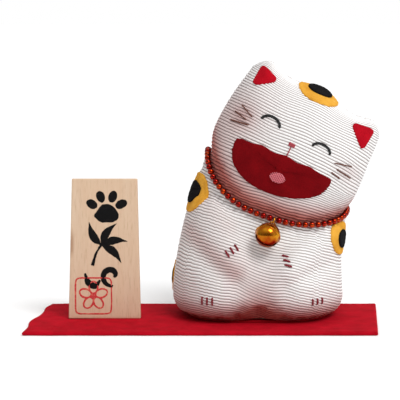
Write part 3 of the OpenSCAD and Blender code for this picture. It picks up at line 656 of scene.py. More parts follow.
def back_place(a, s):
    """Places by distance off centre and height, on the back."""
    return -np.asarray(a) / half_width(s), s, np.ones_like(np.asarray(a), int)


def front_place(a, s):
    """Places by distance off centre and height, on the front."""
    return np.asarray(a) / half_width(s), s, -np.ones_like(np.asarray(a), int)


def flank_place(hand):
    """Places by depth behind the middle and height on the left (-1) or right (1) flank."""
    def place(u, s):
        u = hand * np.asarray(u, float)
        m = np.minimum(1, np.abs(u) / half_depth(s))
        return hand * (1 - m**squareness)**(1 / squareness), s, np.where(u < 0, -1, 1)
    return place


def crown_place(a, b):
    """Places by distance off centre and depth, on the crown."""
    high = figure_height - crown_drop / 4
    share = np.asarray(a) / half_width(high)
    full = half_depth(high) * plan_depth(share) * np.where(np.asarray(b) < 0, 1, back_fullness)
    t = 1 - (1 - np.minimum(1, np.abs(b) / full)**crown_curve)**(1 / crown_curve)
    return share, top_height(share) - t * crown_drop, np.where(np.asarray(b) < 0, -1, 1)


def on_cloth(where, u, v, rise=0.0):
    """A point so far above the stuffed cloth, at the place a piece uses."""
    u, v, probe = np.asarray(u, float), np.asarray(v, float), 0.4

    def at(du, dv):
        return cloth(*where(u + du, v + dv))

    n = unit(np.cross(at(probe, 0) - at(-probe, 0), at(0, probe) - at(0, -probe)))
    return at(0, 0) + n * np.asarray(rise, float)[..., None]


def disc_faces(rings, sides):
    """Faces from one middle point out through rings of points."""
    faces = [[0, 1 + i, 1 + (i + 1) % sides] for i in range(sides)]
    for k in range(rings - 1):
        near, far = 1 + k * sides, 1 + (k + 1) * sides
        for i in range(sides):
            j = (i + 1) % sides
            faces.append([near + i, far + i, far + j, near + j])
    return faces


def patch(name, where, outline, low, high, rings=10, dome=0.0, rough=0.05, seed=1):
    """A thick patch on the cloth: rings of points from its middle to a rounded, furry edge."""
    outline = np.asarray(outline, float)
    n = len(outline)
    middle = outline.mean(0)
    shares = [(k / rings)**0.8 * 0.97 for k in range(1, rings)] + [0.985, 1.0, 1.0, 0.99]
    drops = [1.0] * (rings - 2) + [0.985, 0.9, 0.62, 0.25, 0.0]
    rng = np.random.default_rng(seed)
    fringe = 1 + rng.normal(0, 0.006, n)
    points = [on_cloth(where, *middle, high + dome)[None]]
    for reach, drop in zip(shares, drops):
        q = middle + (outline - middle) * reach * (fringe[:, None] if reach > 0.98 else 1)
        bulge = dome * np.sqrt(max(0, 1 - min(1, reach)**2))
        level = low + (high - low) * drop + bulge + rng.normal(0, rough, n) * (drop > 0.2)
        points.append(on_cloth(where, q[:, 0], q[:, 1], level))
    points.append(on_cloth(where, *middle, low)[None])
    faces = disc_faces(len(shares), n)
    final = 1 + (len(shares) - 1) * n
    faces += [[final + i, final + n, final + (i + 1) % n] for i in range(n)]
    return mesh_piece(name, np.vstack(points), faces, "cat")


def oval(middle, half, n=64, blunt=1):
    """The outline of an oval; below 1, blunt squares its two ends."""
    turns = np.arange(n) * 2 * math.pi / n
    c = signed_power(np.cos(turns), blunt)
    return np.column_stack([middle[0] + half[0] * c, middle[1] + half[1] * np.sin(turns)])


tail_outline = oval((0, 0.266 * body_height), (7, 8))
crepe_tail = patch("crepe_tail", back_place, tail_outline, -0.4, 0.5, dome=6, rings=16, rough=0.02)
tail_run = np.array([v.co.z for v in crepe_tail.data.vertices]) / mm / crepe_rib
put_values(crepe_tail, "rib_run", tail_run)
# the tail takes a little of the same painted rosy shade as the body
put_values(crepe_tail, "painted_shade_and_blush", np.full(len(tail_run), 0.15))
crepe_tail.data.materials.append(crepe)
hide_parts("tail")

# ---- Felt ear linings
# A rounded triangle of thin red felt is glued on the front of each ear.

def compass(degrees):
    """The level direction at a turn."""
    return np.array([math.cos(math.radians(degrees)), math.sin(math.radians(degrees))])


def rounded(corners, radius, arc=6, spacing=0.7):
    """Outline of a polygon listed anticlockwise, with rounded corners."""
    corners = np.asarray(corners, float)
    out, n = [], len(corners)
    for i in range(n):
        p, before, after = corners[i], corners[i - 1], corners[(i + 1) % n]
        start = math.degrees(math.atan2(-(p - before)[0], (p - before)[1]))
        turn = (math.degrees(math.atan2(-(after - p)[0], (after - p)[1])) - start) % 360
        c = p - radius / math.cos(math.radians(turn / 2)) * compass(start + turn / 2)
        out += [c + radius * compass(start + turn * k / arc) for k in range(arc + 1)]
    filled = []
    for i, p in enumerate(out):
        q = out[(i + 1) % len(out)]
        steps = max(1, int(np.linalg.norm(q - p) / spacing))
        filled += [p + (q - p) * k / steps for k in range(steps)]
    return np.array(filled)


felt_low, felt_high = -0.2, 0.8
ear_shift = 1.7
ear_corners = {
    -1: [(0.867, 12.6), (0.858, 1), (0.584, 4.4)],
    1: [(0.862, 13.2), (0.905, 1.6), (0.555, 4.2)],
}
for name, hand in [("left_ear_lining", -1), ("right_ear_lining", 1)]:
    corners = [(x * ear_width / 2, figure_height - y) for x, y in ear_corners[hand]]
    outline = rounded(corners, 1.3)
    if hand < 0:
        outline = (outline * [-1, 1])[::-1]
    outline = outline - [ear_shift, 0]
    ear_felt = patch(name + "_felt", front_place, outline, felt_low, felt_high, seed=3 + hand)
    ear_felt.data.materials.append(red_felt)
    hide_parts(name)

# ---- Mouth and tongue
# The open mouth is one piece of dark red felt, and the tongue is filled in with crossed pink
# stitches through it.

face_shift = -2.9
mouth_half, mouth_rise, mouth_drop, lip_wave = 24.5, 3.3, 15.8, 0.5
mouth_middle = np.array([face_shift, body_height + 0.2953 * head_height])
mouth_outline = []
for i in range(120):
    turn = 2 * math.pi * i / 120
    x, up = mouth_half * math.cos(turn), math.sin(turn)
    if up > 0:
        ripple = math.cos(4 * math.pi * x / mouth_half + math.pi)
        y = mouth_rise * math.sqrt(up) - lip_wave * up * ripple
    else:
        y = -mouth_drop * abs(up)**0.86
    mouth_outline.append(mouth_middle + (x, y))
mouth = patch("mouth_of_felt", front_place, mouth_outline, felt_low, felt_high, rings=16, seed=9)
deep_felt = felt_material("pressed_deep_red_felt", "80070f", "6a040b", fuzz=0.01)
mouth.data.materials.append(deep_felt)
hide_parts("mouth_felt")


def strand(path, radius, sides=6, close=False, ends=True):
    """Points and faces of a round thread along a path, tapered to its ends."""
    path = np.asarray(path, float)
    way = np.roll(path, -1, 0) - np.roll(path, 1, 0) if close else np.gradient(path, axis=0)
    way = unit(way)
    side = unit(np.cross(way, [0.31, 0.17, 0.93]))
    up = np.cross(way, side)
    turns = np.arange(sides) * 2 * math.pi / sides
    girth = np.full(len(path), float(radius))
    if ends and not close:
        girth[[0, -1]] *= 0.5
    spokes = (np.cos(turns)[None, :, None] * side[:, None]
              + np.sin(turns)[None, :, None] * up[:, None])
    rings = path[:, None] + girth[:, None, None] * spokes
    faces = ring_faces(len(path), sides, close)
    if not close:
        faces += end_faces(len(path), sides)
    return rings.reshape(-1, 3), faces


def joined(parts):
    """Several sets of points and faces as one."""
    points, faces, start = [], [], 0
    for p, f in parts:
        points.append(np.asarray(p))
        faces += [[v + start for v in face] for face in f]
        start += len(p)
    return np.vstack(points), faces

def thread_material(name, light, dark, roughness=0.7, sheen=0.03):
    """Twisted cotton thread: each turn of its twist catches light beside a darker gap."""
    material = new_material(name, Roughness=roughness, Sheen_Weight=sheen)
    twist = noise(material, 2200.0)
    drive(material, "Base Color", blend(material, twist, dark, light))
    emboss(material, twist, 0.5, 0.0001)
    return material


tongue_middle = (face_shift, body_height + 0.1555 * head_height)
stitch_spacing, stitch_steps = 0.85, np.linspace(0, 5, 60)


def run_inside(off, way):
    """How far a stitch runs from its middle before it leaves the tongue."""
    x, y = off[:, None] + way[:, None] * stitch_steps
    inside = stitch_steps[(x / 3.9)**2 + (y / 2.5)**2 < 1]
    return inside[-1] if len(inside) else 0


tongue_stitches = []
for slant, lift in ((35, 0), (-40, 0.22)):
    way = compass(slant)
    for k in range(-5, 6):
        off = k * stitch_spacing * np.array([-way[1], way[0]])
        reach, back = run_inside(off, way), run_inside(off, -way)
        if reach < 0.6:
            continue
        q = np.array([off + way * d for d in np.linspace(-back, reach, 9)]) + tongue_middle
        rise = felt_high + 0.12 + 0.2 * np.sin(np.linspace(0, math.pi, 9)) + lift
        tongue_stitches.append(strand(on_cloth(front_place, q[:, 0], q[:, 1], rise), 0.26))
tongue_base = patch("tongue_base", front_place, oval(tongue_middle, (3.7, 2.3), 40),
                    felt_high - 0.2, felt_high + 0.18, rings=5)
tongue = mesh_piece("tongue_stitches", *joined(tongue_stitches), "cat")
pink_thread = thread_material("pink_cotton_thread", "f08f98", "c04858", 0.75, 0.05)
deep_pink_thread = thread_material("deep_pink_cotton_thread", "a83545", "7c1c2b", 0.8, 0.0)
tongue.data.materials.append(pink_thread)
tongue_base.data.materials.append(deep_pink_thread)
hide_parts("tongue")

# ---- Embroidered eyes, nose, whiskers and claws
# Each line is one or two stitches of thick cotton thread of two twisted plies, laid on the crepe.


def laid_thread(where, path, ply=0.3, rise=0.35, plies=2, turn_length=1.6, sunk=0.35):
    """Twisted plies along a path of places, dipping into the cloth at both ends."""
    path = np.asarray(path, float)
    run = np.concatenate([[0], np.cumsum(np.linalg.norm(np.diff(path, axis=0), axis=1))])
    d = np.linspace(0, run[-1], max(10, int(run[-1] / 0.28)))
    u, v = np.interp(d, run, path[:, 0]), np.interp(d, run, path[:, 1])
    height = (rise + sunk) * np.sqrt(np.clip(np.minimum(d, run[-1] - d) / 0.6, 0, 1))
    middle = on_cloth(where, u, v, -sunk + height)
    up = unit(on_cloth(where, u, v, 1.0 + height) - middle)
    side = np.cross(unit(np.gradient(middle, axis=0)), up)
    parts = []
    for k in range(plies):
        angle = 2 * math.pi * (d / turn_length + k / plies)
        off = ply * 0.8 * (np.cos(angle)[:, None] * side + np.sin(angle)[:, None] * up)
        parts.append(strand(middle + off, ply))
    return joined(parts)


def smooth_path(points, count=24):
    """A smooth curve through a few places."""
    points = np.asarray(points, float)
    keys = np.arange(len(points), dtype=float)
    at = np.linspace(0, keys[-1], count)
    return np.column_stack([through(np.column_stack([keys, points[:, i]]), at) for i in (0, 1)])


black_thread = thread_material("black_cotton_thread", "161415", "060506", sheen=0.02)
red_thread = thread_material("dark_red_cotton_thread", "981428", "5c0a16")
brown_thread = thread_material("brown_cotton_thread", "7c4632", "4a2217")
rose_thread = thread_material("rose_cotton_thread", "c4505a", "8e2a36")


def embroidery(name, parts, material, node):
    """One piece of needlework, of several threads."""
    piece = mesh_piece(name, *joined(parts), "cat")
    piece.data.materials.append(material)
    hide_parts(node)


for name, hand in [("left_eye", -1), ("right_eye", 1)]:
    middle = np.array([face_shift + hand * 0.1776 * cheek_width, body_height + 0.553 * head_height])
    lines = []
    for grow, rise in ((0.16, 0.3), (-0.2, 0.34)):
        half = np.array([-4.7 - grow, 3.2 + grow])
        arch = [middle + half * compass(k) for k in np.linspace(4, 176, 16)]
        lines.append(laid_thread(front_place, arch, 0.31, rise))
    embroidery(name + "_thread", lines, black_thread, name)

nose_tip = np.array([face_shift, body_height + 0.4646 * head_height])
stem_end = mouth_middle + (0, mouth_rise - 0.7)
nose_lines = []
for drop in (0, 0.5, 1.0):
    ends = [nose_tip + (hand * 1.7, 1.1 - drop) for hand in (-1, 1)]
    nose_lines.append(laid_thread(front_place, ends, 0.24))
nose_lines.append(laid_thread(front_place, [nose_tip, stem_end], 0.18))
embroidery("nose_thread", nose_lines, rose_thread, "nose")

whisker_ends = {
    -1: [[(0.579, 0.532), (0.763, 0.581)], [(0.632, 0.492), (0.803, 0.512)],
         [(0.579, 0.463), (0.803, 0.433)]],
    1: [[(0.579, 0.502), (0.816, 0.551)], [(0.645, 0.453), (0.868, 0.423)],
        [(0.592, 0.404), (0.737, 0.374)]],
}
for name, hand in [("left_whiskers", -1), ("right_whiskers", 1)]:
    lines = []
    for k, ends in enumerate(whisker_ends[hand]):
        q = [(face_shift + hand * x * cheek_width / 2, body_height + y * head_height)
             for x, y in ends]
        thick = 0.26 if (hand, k) == (-1, 2) else 0.2
        lines.append(laid_thread(front_place, q, thick, 0.3))
    embroidery(name + "_thread", lines, brown_thread, name)

# each paw: hand, turn of its row of stitches, drop, and how much its row is slewed
claw_spacing, claw_length = 2.3, 3.5
hand_paws = [(-1, 40, 0, 0), (1, -80, 1.5, -1.3)]
foot_paws = [(-1, 0, 0, 0), (1, 0, 0, 0)]
for name, shift, out, height, paws in [
        ("hand_claws", -2, 0.161 * hip_width, 0.527 * body_height, hand_paws),
        ("foot_claws", 1, 0.3145 * hip_width, 0.18 * body_height, foot_paws)]:
    lines = []
    for hand, turn, drop, slew in paws:
        c, sn = compass(turn)
        for k in (-1, 0, 1):
            middle = np.array([shift + hand * (out + k * claw_spacing * c) + k * slew,
                               height - drop - k * claw_spacing * sn])
            reach = claw_length / 2 * np.array([hand * sn, c])
            lines.append(laid_thread(front_place, [middle - reach, middle + reach], 0.34, 0.3))
    embroidery(name + "_thread", lines, red_thread, name)

# ---- Tortoiseshell spots
# Five discs of ochre felt, each with a smaller black disc glued on it, lie on the crown,
# the shoulders and the hips.

ochre_felt = felt_material("pressed_ochre_felt", "f2b648", "d2912c")
black_felt = felt_material("pressed_black_felt", "1c1a1b", "0d0c0e", fuzz=0.01)


def bend_stretch(hand, s):
    """How much the lean stretches the cloth of a flank, up its height."""
    return 1 if s < lean_start else 1 - hand * float(half_width(s)) / lean_radius


spots = [("crown_spot", "crown_spot_centre", crown_place, (-2, -10.5), 10.8, 0)]
for name, hand, depth, height, radius in [
        ("left_shoulder", -1, -8.5, 0.825, 10), ("right_shoulder", 1, -13, 0.742, 7.8),
        ("left_hip", -1, 12, 0.253, 9), ("right_hip", 1, 15, 0.195, 8)]:
    middle = (hand * depth, height * body_height)
    spots.append((name + "_spot", name + "_centre", flank_place(hand), middle, radius, hand))
for k, (spot_name, centre_name, where, middle, radius, hand) in enumerate(spots):
    stretch = bend_stretch(hand, middle[1]) if hand else 1
    outline = oval(middle, (radius, radius / stretch), 72, 0.8 if hand else 1)
    disc = patch(spot_name + "_felt", where, outline, felt_low, felt_high, rings=12, seed=20 + k)
    disc.data.materials.append(ochre_felt)
    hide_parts(spot_name)
    inner = radius * 0.56
    outline = oval(middle, (inner, inner / stretch), 56)
    disc = patch(centre_name + "_felt", where, outline, felt_high - 0.2, 2 * felt_high,
                 rings=8, seed=40 + k)
    disc.data.materials.append(black_felt)
    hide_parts(centre_name)

# ---- Collar of glass beads
# Dark red glass beads with a gold lustre are threaded on a red elastic cord, which is knotted
# at the nape. It sits in the crease that it draws round the neck.

bead_size, bead_gap, cord_size, wire_clear = 3.2, 0.1, 0.6, 0.35
ring_opening, ring_wire = 3, 0.7
collar_rise = bead_size / 2 + 0.3
joints = {j["name"]: j for j in frame["joints"]}
ring_turn = 1.6
front_clear = ring_wire / 2 + wire_clear + bead_size / 2


def collar_point(turn):
    """The cord's middle at a turn round the neck, on the unswollen cloth."""
    turn, probe = np.asarray(turn, float), 0.4
    height = collar_height(*around(turn))

    def at(dw, dv):
        share, side = around(turn + dw)
        return skin(share, height + dv, side)

    n = unit(np.cross(at(probe, 0) - at(-probe, 0), at(0, probe) - at(0, -probe)))
    return at(0, 0) + n * collar_rise


route = collar_point(270 + ring_turn + np.linspace(0, 360, 721))
route_run = np.concatenate([[0], np.cumsum(np.linalg.norm(np.diff(route, axis=0), axis=1))])
collar_length = route_run[-1]


def on_route(d):
    """Points at distances along the cord."""
    return np.column_stack([np.interp(d, route_run, route[:, i]) for i in range(3)])


cord_points = on_route(np.linspace(0, collar_length, 240, endpoint=False))
elastic = mesh_piece("elastic_cord", *strand(cord_points, cord_size / 2, 8, close=True), "cat")
red_elastic = thread_material("dark_red_elastic", "7d1018", "4d080e", 0.45, 0.0)
elastic.data.materials.append(red_elastic)
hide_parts("collar_string")

bead_count = int((collar_length - 2 * front_clear) // (bead_size + bead_gap))
bead_pitch = (collar_length - 2 * front_clear) / bead_count
bead_curve = [-bead_size / 2 * compass(angle) * (0.97, -1) for angle in np.linspace(17, 163, 15)]
bead_profile = [(-1.44, 0.42), *bead_curve, (1.44, 0.42)]
bead_sides = 22
bead_parts = []
rng = np.random.default_rng(5)
for k in range(bead_count + 1):
    d = front_clear + k * bead_pitch
    before, centre, after = on_route(np.array([d - 0.5, d, d + 0.5]))
    way = unit(after - before)
    side_way = unit(np.cross(way, [0.2, 0.3, 0.93]))
    up_way = np.cross(way, side_way)
    grow = 1 + rng.uniform(-0.025, 0.0)
    spokes = [math.cos(w) * side_way + math.sin(w) * up_way
              for w in 2 * math.pi * np.arange(bead_sides) / bead_sides]
    points = [centre + grow * (x * way + r * spoke) for x, r in bead_profile for spoke in spokes]
    faces = turned_over(ring_faces(len(bead_profile), bead_sides, close=True))
    bead_parts.append((np.array(points), faces))
beads = mesh_piece("glass_beads", *joined(bead_parts), "cat")
# Pressed glass with a fired-on gold lustre: a mirror of deep red that turns to gold in clouds,
# so every bead shows one sharp highlight.
glass = new_material("lustred_red_glass", Metallic=1.0, Roughness=0.16, Coat_Weight=0.15,
                     Coat_Roughness=0.03)
lustre = ranged(glass, noise(glass, 420.0), 0.45, 0.75)
drive(glass, "Base Color", blend(glass, lustre, "8e0b05", "c2460c"))
beads.data.materials.append(glass)
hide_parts("collar_beads")

nape = on_route(np.array([front_clear + (bead_count // 2 + 0.5) * bead_pitch]))[0] + (0, 1.4, 0)
knot_path = []
for turn in np.linspace(0, 2 * math.pi, 60, endpoint=False):
    reach = 0.62 + 0.3 * math.cos(3 * turn)
    knot_path.append(nape + (1.25 * reach * math.cos(2 * turn), 0.42 * math.sin(3 * turn),
                             1.1 * reach * math.sin(2 * turn)))
knot_parts = [strand(knot_path, 0.29, 8, close=True)]
for hand in (-1, 1):
    tail_end = [nape + (hand * (0.3 + 0.9 * q), 0.25 - 0.5 * q * q, -0.5 - 2.4 * q)
                for q in np.linspace(0, 1, 12)]
    knot_parts.append(strand(tail_end, 0.28, 8, ends=False))
knot = mesh_piece("elastic_knot", *joined(knot_parts), "cat")
knot.data.materials.append(red_elastic)
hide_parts("collar_knot")

# ---- Brass jingle bell on a jump ring
# Two halves of thin pressed brass are crimped together round a steel pellet. A wire loop is
# soldered on top, and an open jump ring hangs it on the cord between two beads.

ring_foot = np.array(joints["bell_swing"]["pos_m"]) / mm
bell_up = unit(joints["pellet_rattle"]["axis"])
bell_back = unit(joints["bell_swing"]["axis"])
bell_across = np.cross(bell_back, bell_up)
bell_radius, bell_wall = 6, 0.45
loop_opening, loop_wire = 2, 0.7
drop_from_foot = loop_opening / 2 - ring_wire / 2 - 0.1
loop_middle = ring_foot - bell_up * drop_from_foot
bell_middle = loop_middle - bell_up * (loop_opening / 2 + loop_wire / 2 + bell_radius - 0.15)


def hung(points, middle):
    """Points drawn upright about the bell's own axes, moved to where they hang."""
    return middle + np.asarray(points, float) @ np.array([bell_across, bell_back, bell_up])


def wire_ring(name, middle, opening, wire, plane, gap, body, node):
    """A ring bent from round wire, with a fine gap where its two cut ends meet."""
    radius = opening / 2 + wire / 2
    turns = np.linspace(gap, 360 - gap, 90) + 90
    c, sn = radius * np.cos(np.radians(turns)), radius * np.sin(np.radians(turns))
    flat = np.column_stack([0 * c, c, sn] if plane == "side" else [c, 0 * c, sn])
    piece = mesh_piece(name, *strand(hung(flat, middle), wire / 2, 18, ends=False), body)
    piece.data.materials.append(polished_brass)
    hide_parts(node)


# Pressed brass, tumbled bright: a warm yellow mirror, softened in patches by handling.
polished_brass = new_material("tumbled_brass", Metallic=1.0)
handling = noise(polished_brass, 260.0, 3.0)
drive(polished_brass, "Roughness", ranged(polished_brass, handling, 0.35, 0.75, 0.1, 0.26))
drive(polished_brass, "Base Color", blend(polished_brass, handling, "d99a22", "b87714"))

# The lower half is the same brass with a painted reflection: its colour is pulled towards red,
# standing in for the red felt mat that it mirrors.
brass_with_painted_reflection = new_material("brass_painted_red_reflection", Metallic=1.0)
reflection_mottle = noise(brass_with_painted_reflection, 180.0)
red_reflection_share = ranged(brass_with_painted_reflection, reflection_mottle, 0.42, 0.7)
drive(brass_with_painted_reflection, "Base Color", blend(brass_with_painted_reflection, red_reflection_share, "9c300c", "cf8a1e"))
drive(brass_with_painted_reflection, "Roughness", ranged(brass_with_painted_reflection, reflection_mottle, 0.0, 1.0, 0.12, 0.25))

ring_middle = ring_foot + bell_up * (ring_opening / 2 + ring_wire / 2)
wire_ring("jump_ring_wire", ring_middle, ring_opening, ring_wire, "side", 1.5, "ring", "jump_ring")
wire_ring("bell_loop_wire", loop_middle, loop_opening, loop_wire, "front", 0.8, "bell", "bell_loop")


def lathe(profile, sides=96):
    """A closed profile of (radius, height) turned about the upright axis."""
    points = [(r * math.cos(w), r * math.sin(w), z) for r, z in profile
              for w in 2 * math.pi * np.arange(sides) / sides]
    return points, ring_faces(len(profile), sides, close=True)


def shell_profile(flip, rim=0.3, rim_height=0.5):
    """Half a hollow ball, with a rolled rim where the halves are crimped together."""
    outer = [bell_radius * compass(w) for w in np.linspace(89.4, 6, 30)]
    edge = [(bell_radius + rim * math.sin(w), rim_height / 2 + rim_height / 2 * math.cos(w))
            for w in np.radians(np.linspace(15, 165, 8))]
    inner = [(bell_radius - bell_wall) * compass(w) for w in np.linspace(0.5, 89.4, 30)]
    profile = [*outer, *edge, (bell_radius, 0.02), *inner]
    return [(r, -z if flip else z) for r, z in profile]


def made_real(piece):
    """Applies a piece's modifiers to its mesh."""
    finished = piece.evaluated_get(bpy.context.evaluated_depsgraph_get())
    shaped = bpy.data.meshes.new_from_object(finished)
    piece.modifiers.clear()
    piece.data = shaped


def cut(piece, cutters):
    """Cuts solids out of a piece for good."""
    for points, faces in cutters:
        tool = new_object("cutter", points, faces)
        modifier = piece.modifiers.new("cut", "BOOLEAN")
        modifier.operation = "DIFFERENCE"
        modifier.solver = "EXACT"
        modifier.object = tool
        made_real(piece)
        bpy.data.objects.remove(tool)


def box_solid(low, high):
    """A box to cut with."""
    x0, y0, z0 = low
    x1, y1, z1 = high
    points = [(x, y, z) for z in (z0, z1) for y in (y0, y1) for x in (x0, x1)]
    return points, [[0, 2, 3, 1], [4, 5, 7, 6], [0, 1, 5, 4],
                    [2, 6, 7, 3], [0, 4, 6, 2], [1, 3, 7, 5]]


def rod_solid(start, end, radius, sides=32):
    """A rod to drill with."""
    start, end = np.array(start, float), np.array(end, float)
    side = unit(np.cross(unit(end - start), [0, 1, 0.01]))
    up = np.cross(unit(end - start), side)
    points = [p + radius * (math.cos(w) * side + math.sin(w) * up)
              for p in (start, end) for w in 2 * math.pi * np.arange(sides) / sides]
    return points, ring_faces(2, sides) + end_faces(2, sides)


slit, hole_angle = 1.1, math.radians(35)
slot_reach = bell_radius * math.cos(hole_angle)
for name, node, flip in [("bell_top_half", "bell_upper_shell", False),
                         ("bell_bottom_half", "bell_lower_shell", True)]:
    points, faces = lathe(shell_profile(flip))
    faces = faces if flip else turned_over(faces)
    half = mesh_piece(name, hung(points, bell_middle), faces, "bell")
    if flip:
        cutters = [box_solid((-slot_reach, -slit / 2, -2 * bell_radius),
                             (slot_reach, slit / 2, -1.0))]
        for hand in (-1, 1):
            tip = np.array([hand * math.cos(hole_angle), 0, -math.sin(hole_angle)])
            cutters.append(rod_solid(tip * 2, tip * 2 * bell_radius, slit))
        cut(half, [(hung(p, bell_middle), f) for p, f in cutters])
        half.data.shade_smooth()
        half.data.set_sharp_from_angle(angle=math.radians(40))
    # the lower half gets the brass with the painted red reflection of the mat
    half.data.materials.clear()
    half.data.materials.append(brass_with_painted_reflection if flip else polished_brass)
    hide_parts(node)

# Bare ground steel: a dim grey mirror, scuffed in patches by its knocks.
steel = new_material("plain_steel_shot", Metallic=1.0, Roughness=0.3, Base_Color=colour("a8a8a6"))
drive(steel, "Roughness", ranged(steel, noise(steel, 900.0), 0.0, 1.0, 0.22, 0.42))
frame["nodes"]["bell_pellet"].data.materials.clear()
frame["nodes"]["bell_pellet"].data.materials.append(steel)

# ---- Wooden plaque
# A sawn and sanded softwood board stands beside the body. It leans back a little on a small
# wedge glued behind it.

board_low, board_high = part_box("plaque_board")
plaque_lean = math.radians(5)
plaque_width, plaque_top_width, plaque_height, plaque_thickness = 35.5, 32.2, 69, 5
plaque_x = (board_low.x + board_high.x) / 2 / mm
plaque_y = board_low.y / mm


def on_board(x, back, up):
    """A point across, behind and up the leaning board's front face."""
    return np.stack([
        plaque_x + np.asarray(x, float) + 0 * up,
        plaque_y + back * math.cos(plaque_lean) + up * math.sin(plaque_lean),
        mat_top - back * math.sin(plaque_lean) + up * math.cos(plaque_lean),
    ], -1)


def board_section(width, inset, corner=0.5, across=30, deep=6):
    """The board's outline seen from above, with eased corners, split finely for its grain."""
    half, thick = width / 2 - inset, plaque_thickness / 2 - inset
    corner = max(0.05, corner - inset)
    out = []
    for cx, cy, start in [(half, -thick, -90), (half, thick, 0),
                          (-half, thick, 90), (-half, -thick, 180)]:
        for angle in np.linspace(start, start + 90, 5):
            middle = np.array([cx - math.copysign(corner, cx), cy - math.copysign(corner, cy)])
            out.append(middle + corner * compass(angle))
    filled = []
    for i, point in enumerate(out):
        step = out[(i + 1) % len(out)] - point
        gap = np.linalg.norm(step)
        steps = across if gap > width / 2 else deep if gap > 2 else 1
        filled += [point + step * k / steps for k in range(steps)]
    return np.array(filled)


levels = [(0, 0.35), (0.002, 0.1), (0.006, 0.0)] + [(k, 0.0) for k in np.linspace(0.02, 0.985, 44)]
levels += [(0.994, 0.0), (0.998, 0.1), (1, 0.35)]
board_points = []
rng = np.random.default_rng(11)
grain_lines = [(rng.uniform(-18, 18), rng.uniform(0.25, 0.7), rng.uniform(0.02, 0.06))
               for _ in range(26)]
for level, inset in levels:
    width = plaque_width + (plaque_top_width - plaque_width) * level
    section = board_section(width, inset)
    x, back = section[:, 0], section[:, 1] + plaque_thickness / 2
    foot = back * math.tan(plaque_lean)
    up = foot + (plaque_height - foot) * level
    relief = sum(deep * swell((x - at - 0.4 * math.sin(level * 5 + at)) / wide)
                 for at, wide, deep in grain_lines)
    on_face = np.abs(section[:, 1]) > plaque_thickness / 2 - 0.6
    facing = np.where(on_face, np.sign(section[:, 1]), 0)
    board_points.append(on_board(x, back - facing * relief, up))
columns = len(board_points[0])
board_faces = ring_faces(len(levels), columns) + end_faces(len(levels), columns)
board = mesh_piece("wooden_board", np.vstack(board_points), board_faces, "plaque")
board.data.set_sharp_from_angle(angle=math.radians(50))
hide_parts("plaque_board")

# Sanded spruce: narrow pale rings cut lengthwise show as upright lines, late wood a little
# darker and glossier than early wood, with a brown patch near one edge.
spruce = new_material("sanded_spruce", IOR=1.5)
place = add(spruce, "ShaderNodeTexCoord").outputs["Object"]
drawn_out = {"Scale": (1.0, 1.0, 0.045)}
upright = add(spruce, "ShaderNodeMapping", drawn_out, {"Vector": place}).outputs[0]
rings = noise(spruce, 620.0, 3.0, 0.4, upright)
tone = noise(spruce, 90.0, place=upright)
fleck = noise(spruce, 1700.0, 3.0, place=upright)
wood = blend(spruce, tone, blend(spruce, rings, "decab2", "cba98a"), "d6b595")
wood = blend(spruce, ranged(spruce, fleck, 0.56, 0.74, 0.0, 0.5), wood, "b08d6c")
brown_patch_at = (board_low.x + 0.0012, board_low.y + 0.001, mat_high.z + 0.0375)
from_brown_patch = add(spruce, "ShaderNodeVectorMath", {"operation": "SUBTRACT", 1: brown_patch_at}, {0: place})
squeezed = add(spruce, "ShaderNodeVectorMath", {"operation": "MULTIPLY", 1: (1.0, 0.35, 0.24)},
               {0: from_brown_patch.outputs[0]})
far = add(spruce, "ShaderNodeVectorMath", {"operation": "LENGTH"}, {0: squeezed.outputs[0]})
brown_patch = ranged(spruce, far.outputs["Value"], 0.0022, 0.0006)
drive(spruce, "Base Color", blend(spruce, sum_of(spruce, "MULTIPLY", brown_patch, 0.65), wood, "8a5530"))
drive(spruce, "Roughness", ranged(spruce, rings, 0.0, 1.0, 0.62, 0.48))
emboss(spruce, sum_of(spruce, "ADD", rings, fleck), 0.3, 0.0001)
board.data.materials.append(spruce)


def eased_block(name, outline, low_x, high_x, body, ease=0.4):
    """A sawn block with this side outline, its edges eased with sandpaper."""
    n = len(outline)
    points = [(x, y, z) for x in (low_x, high_x) for y, z in outline]
    piece = mesh_piece(name, points, turned_over(ring_faces(2, n) + end_faces(2, n)), body)
    bevel = piece.modifiers.new("ease", "BEVEL")
    bevel.width = ease * mm
    bevel.segments = 3
    bevel.limit_method = "NONE"
    made_real(piece)
    piece.data.set_sharp_from_angle(angle=math.radians(35))
    return piece


prop_low, prop_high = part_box("plaque_prop")
prop_depth = 12
prop_back = plaque_y + plaque_thickness / math.cos(plaque_lean)
prop_outline = [(0, 0), (prop_depth, 0), (prop_depth, prop_depth / 4),
                (2 * prop_depth * math.tan(plaque_lean), 2 * prop_depth)]
prop_outline = [(prop_back + y, mat_top + z) for y, z in prop_outline]
wedge = eased_block("wooden_wedge", prop_outline, prop_low.x / mm, prop_high.x / mm, "plaque", 0.3)
wedge.data.materials.append(spruce)
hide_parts("plaque_prop")

# ---- Brush drawings and red stamp on the plaque
# Three small brush drawings in black ink run down the board: a paw print, a bamboo sprig and a
# curl of cloud. Below them is a red stamped square with a flower in it.

ink_height = 0.13


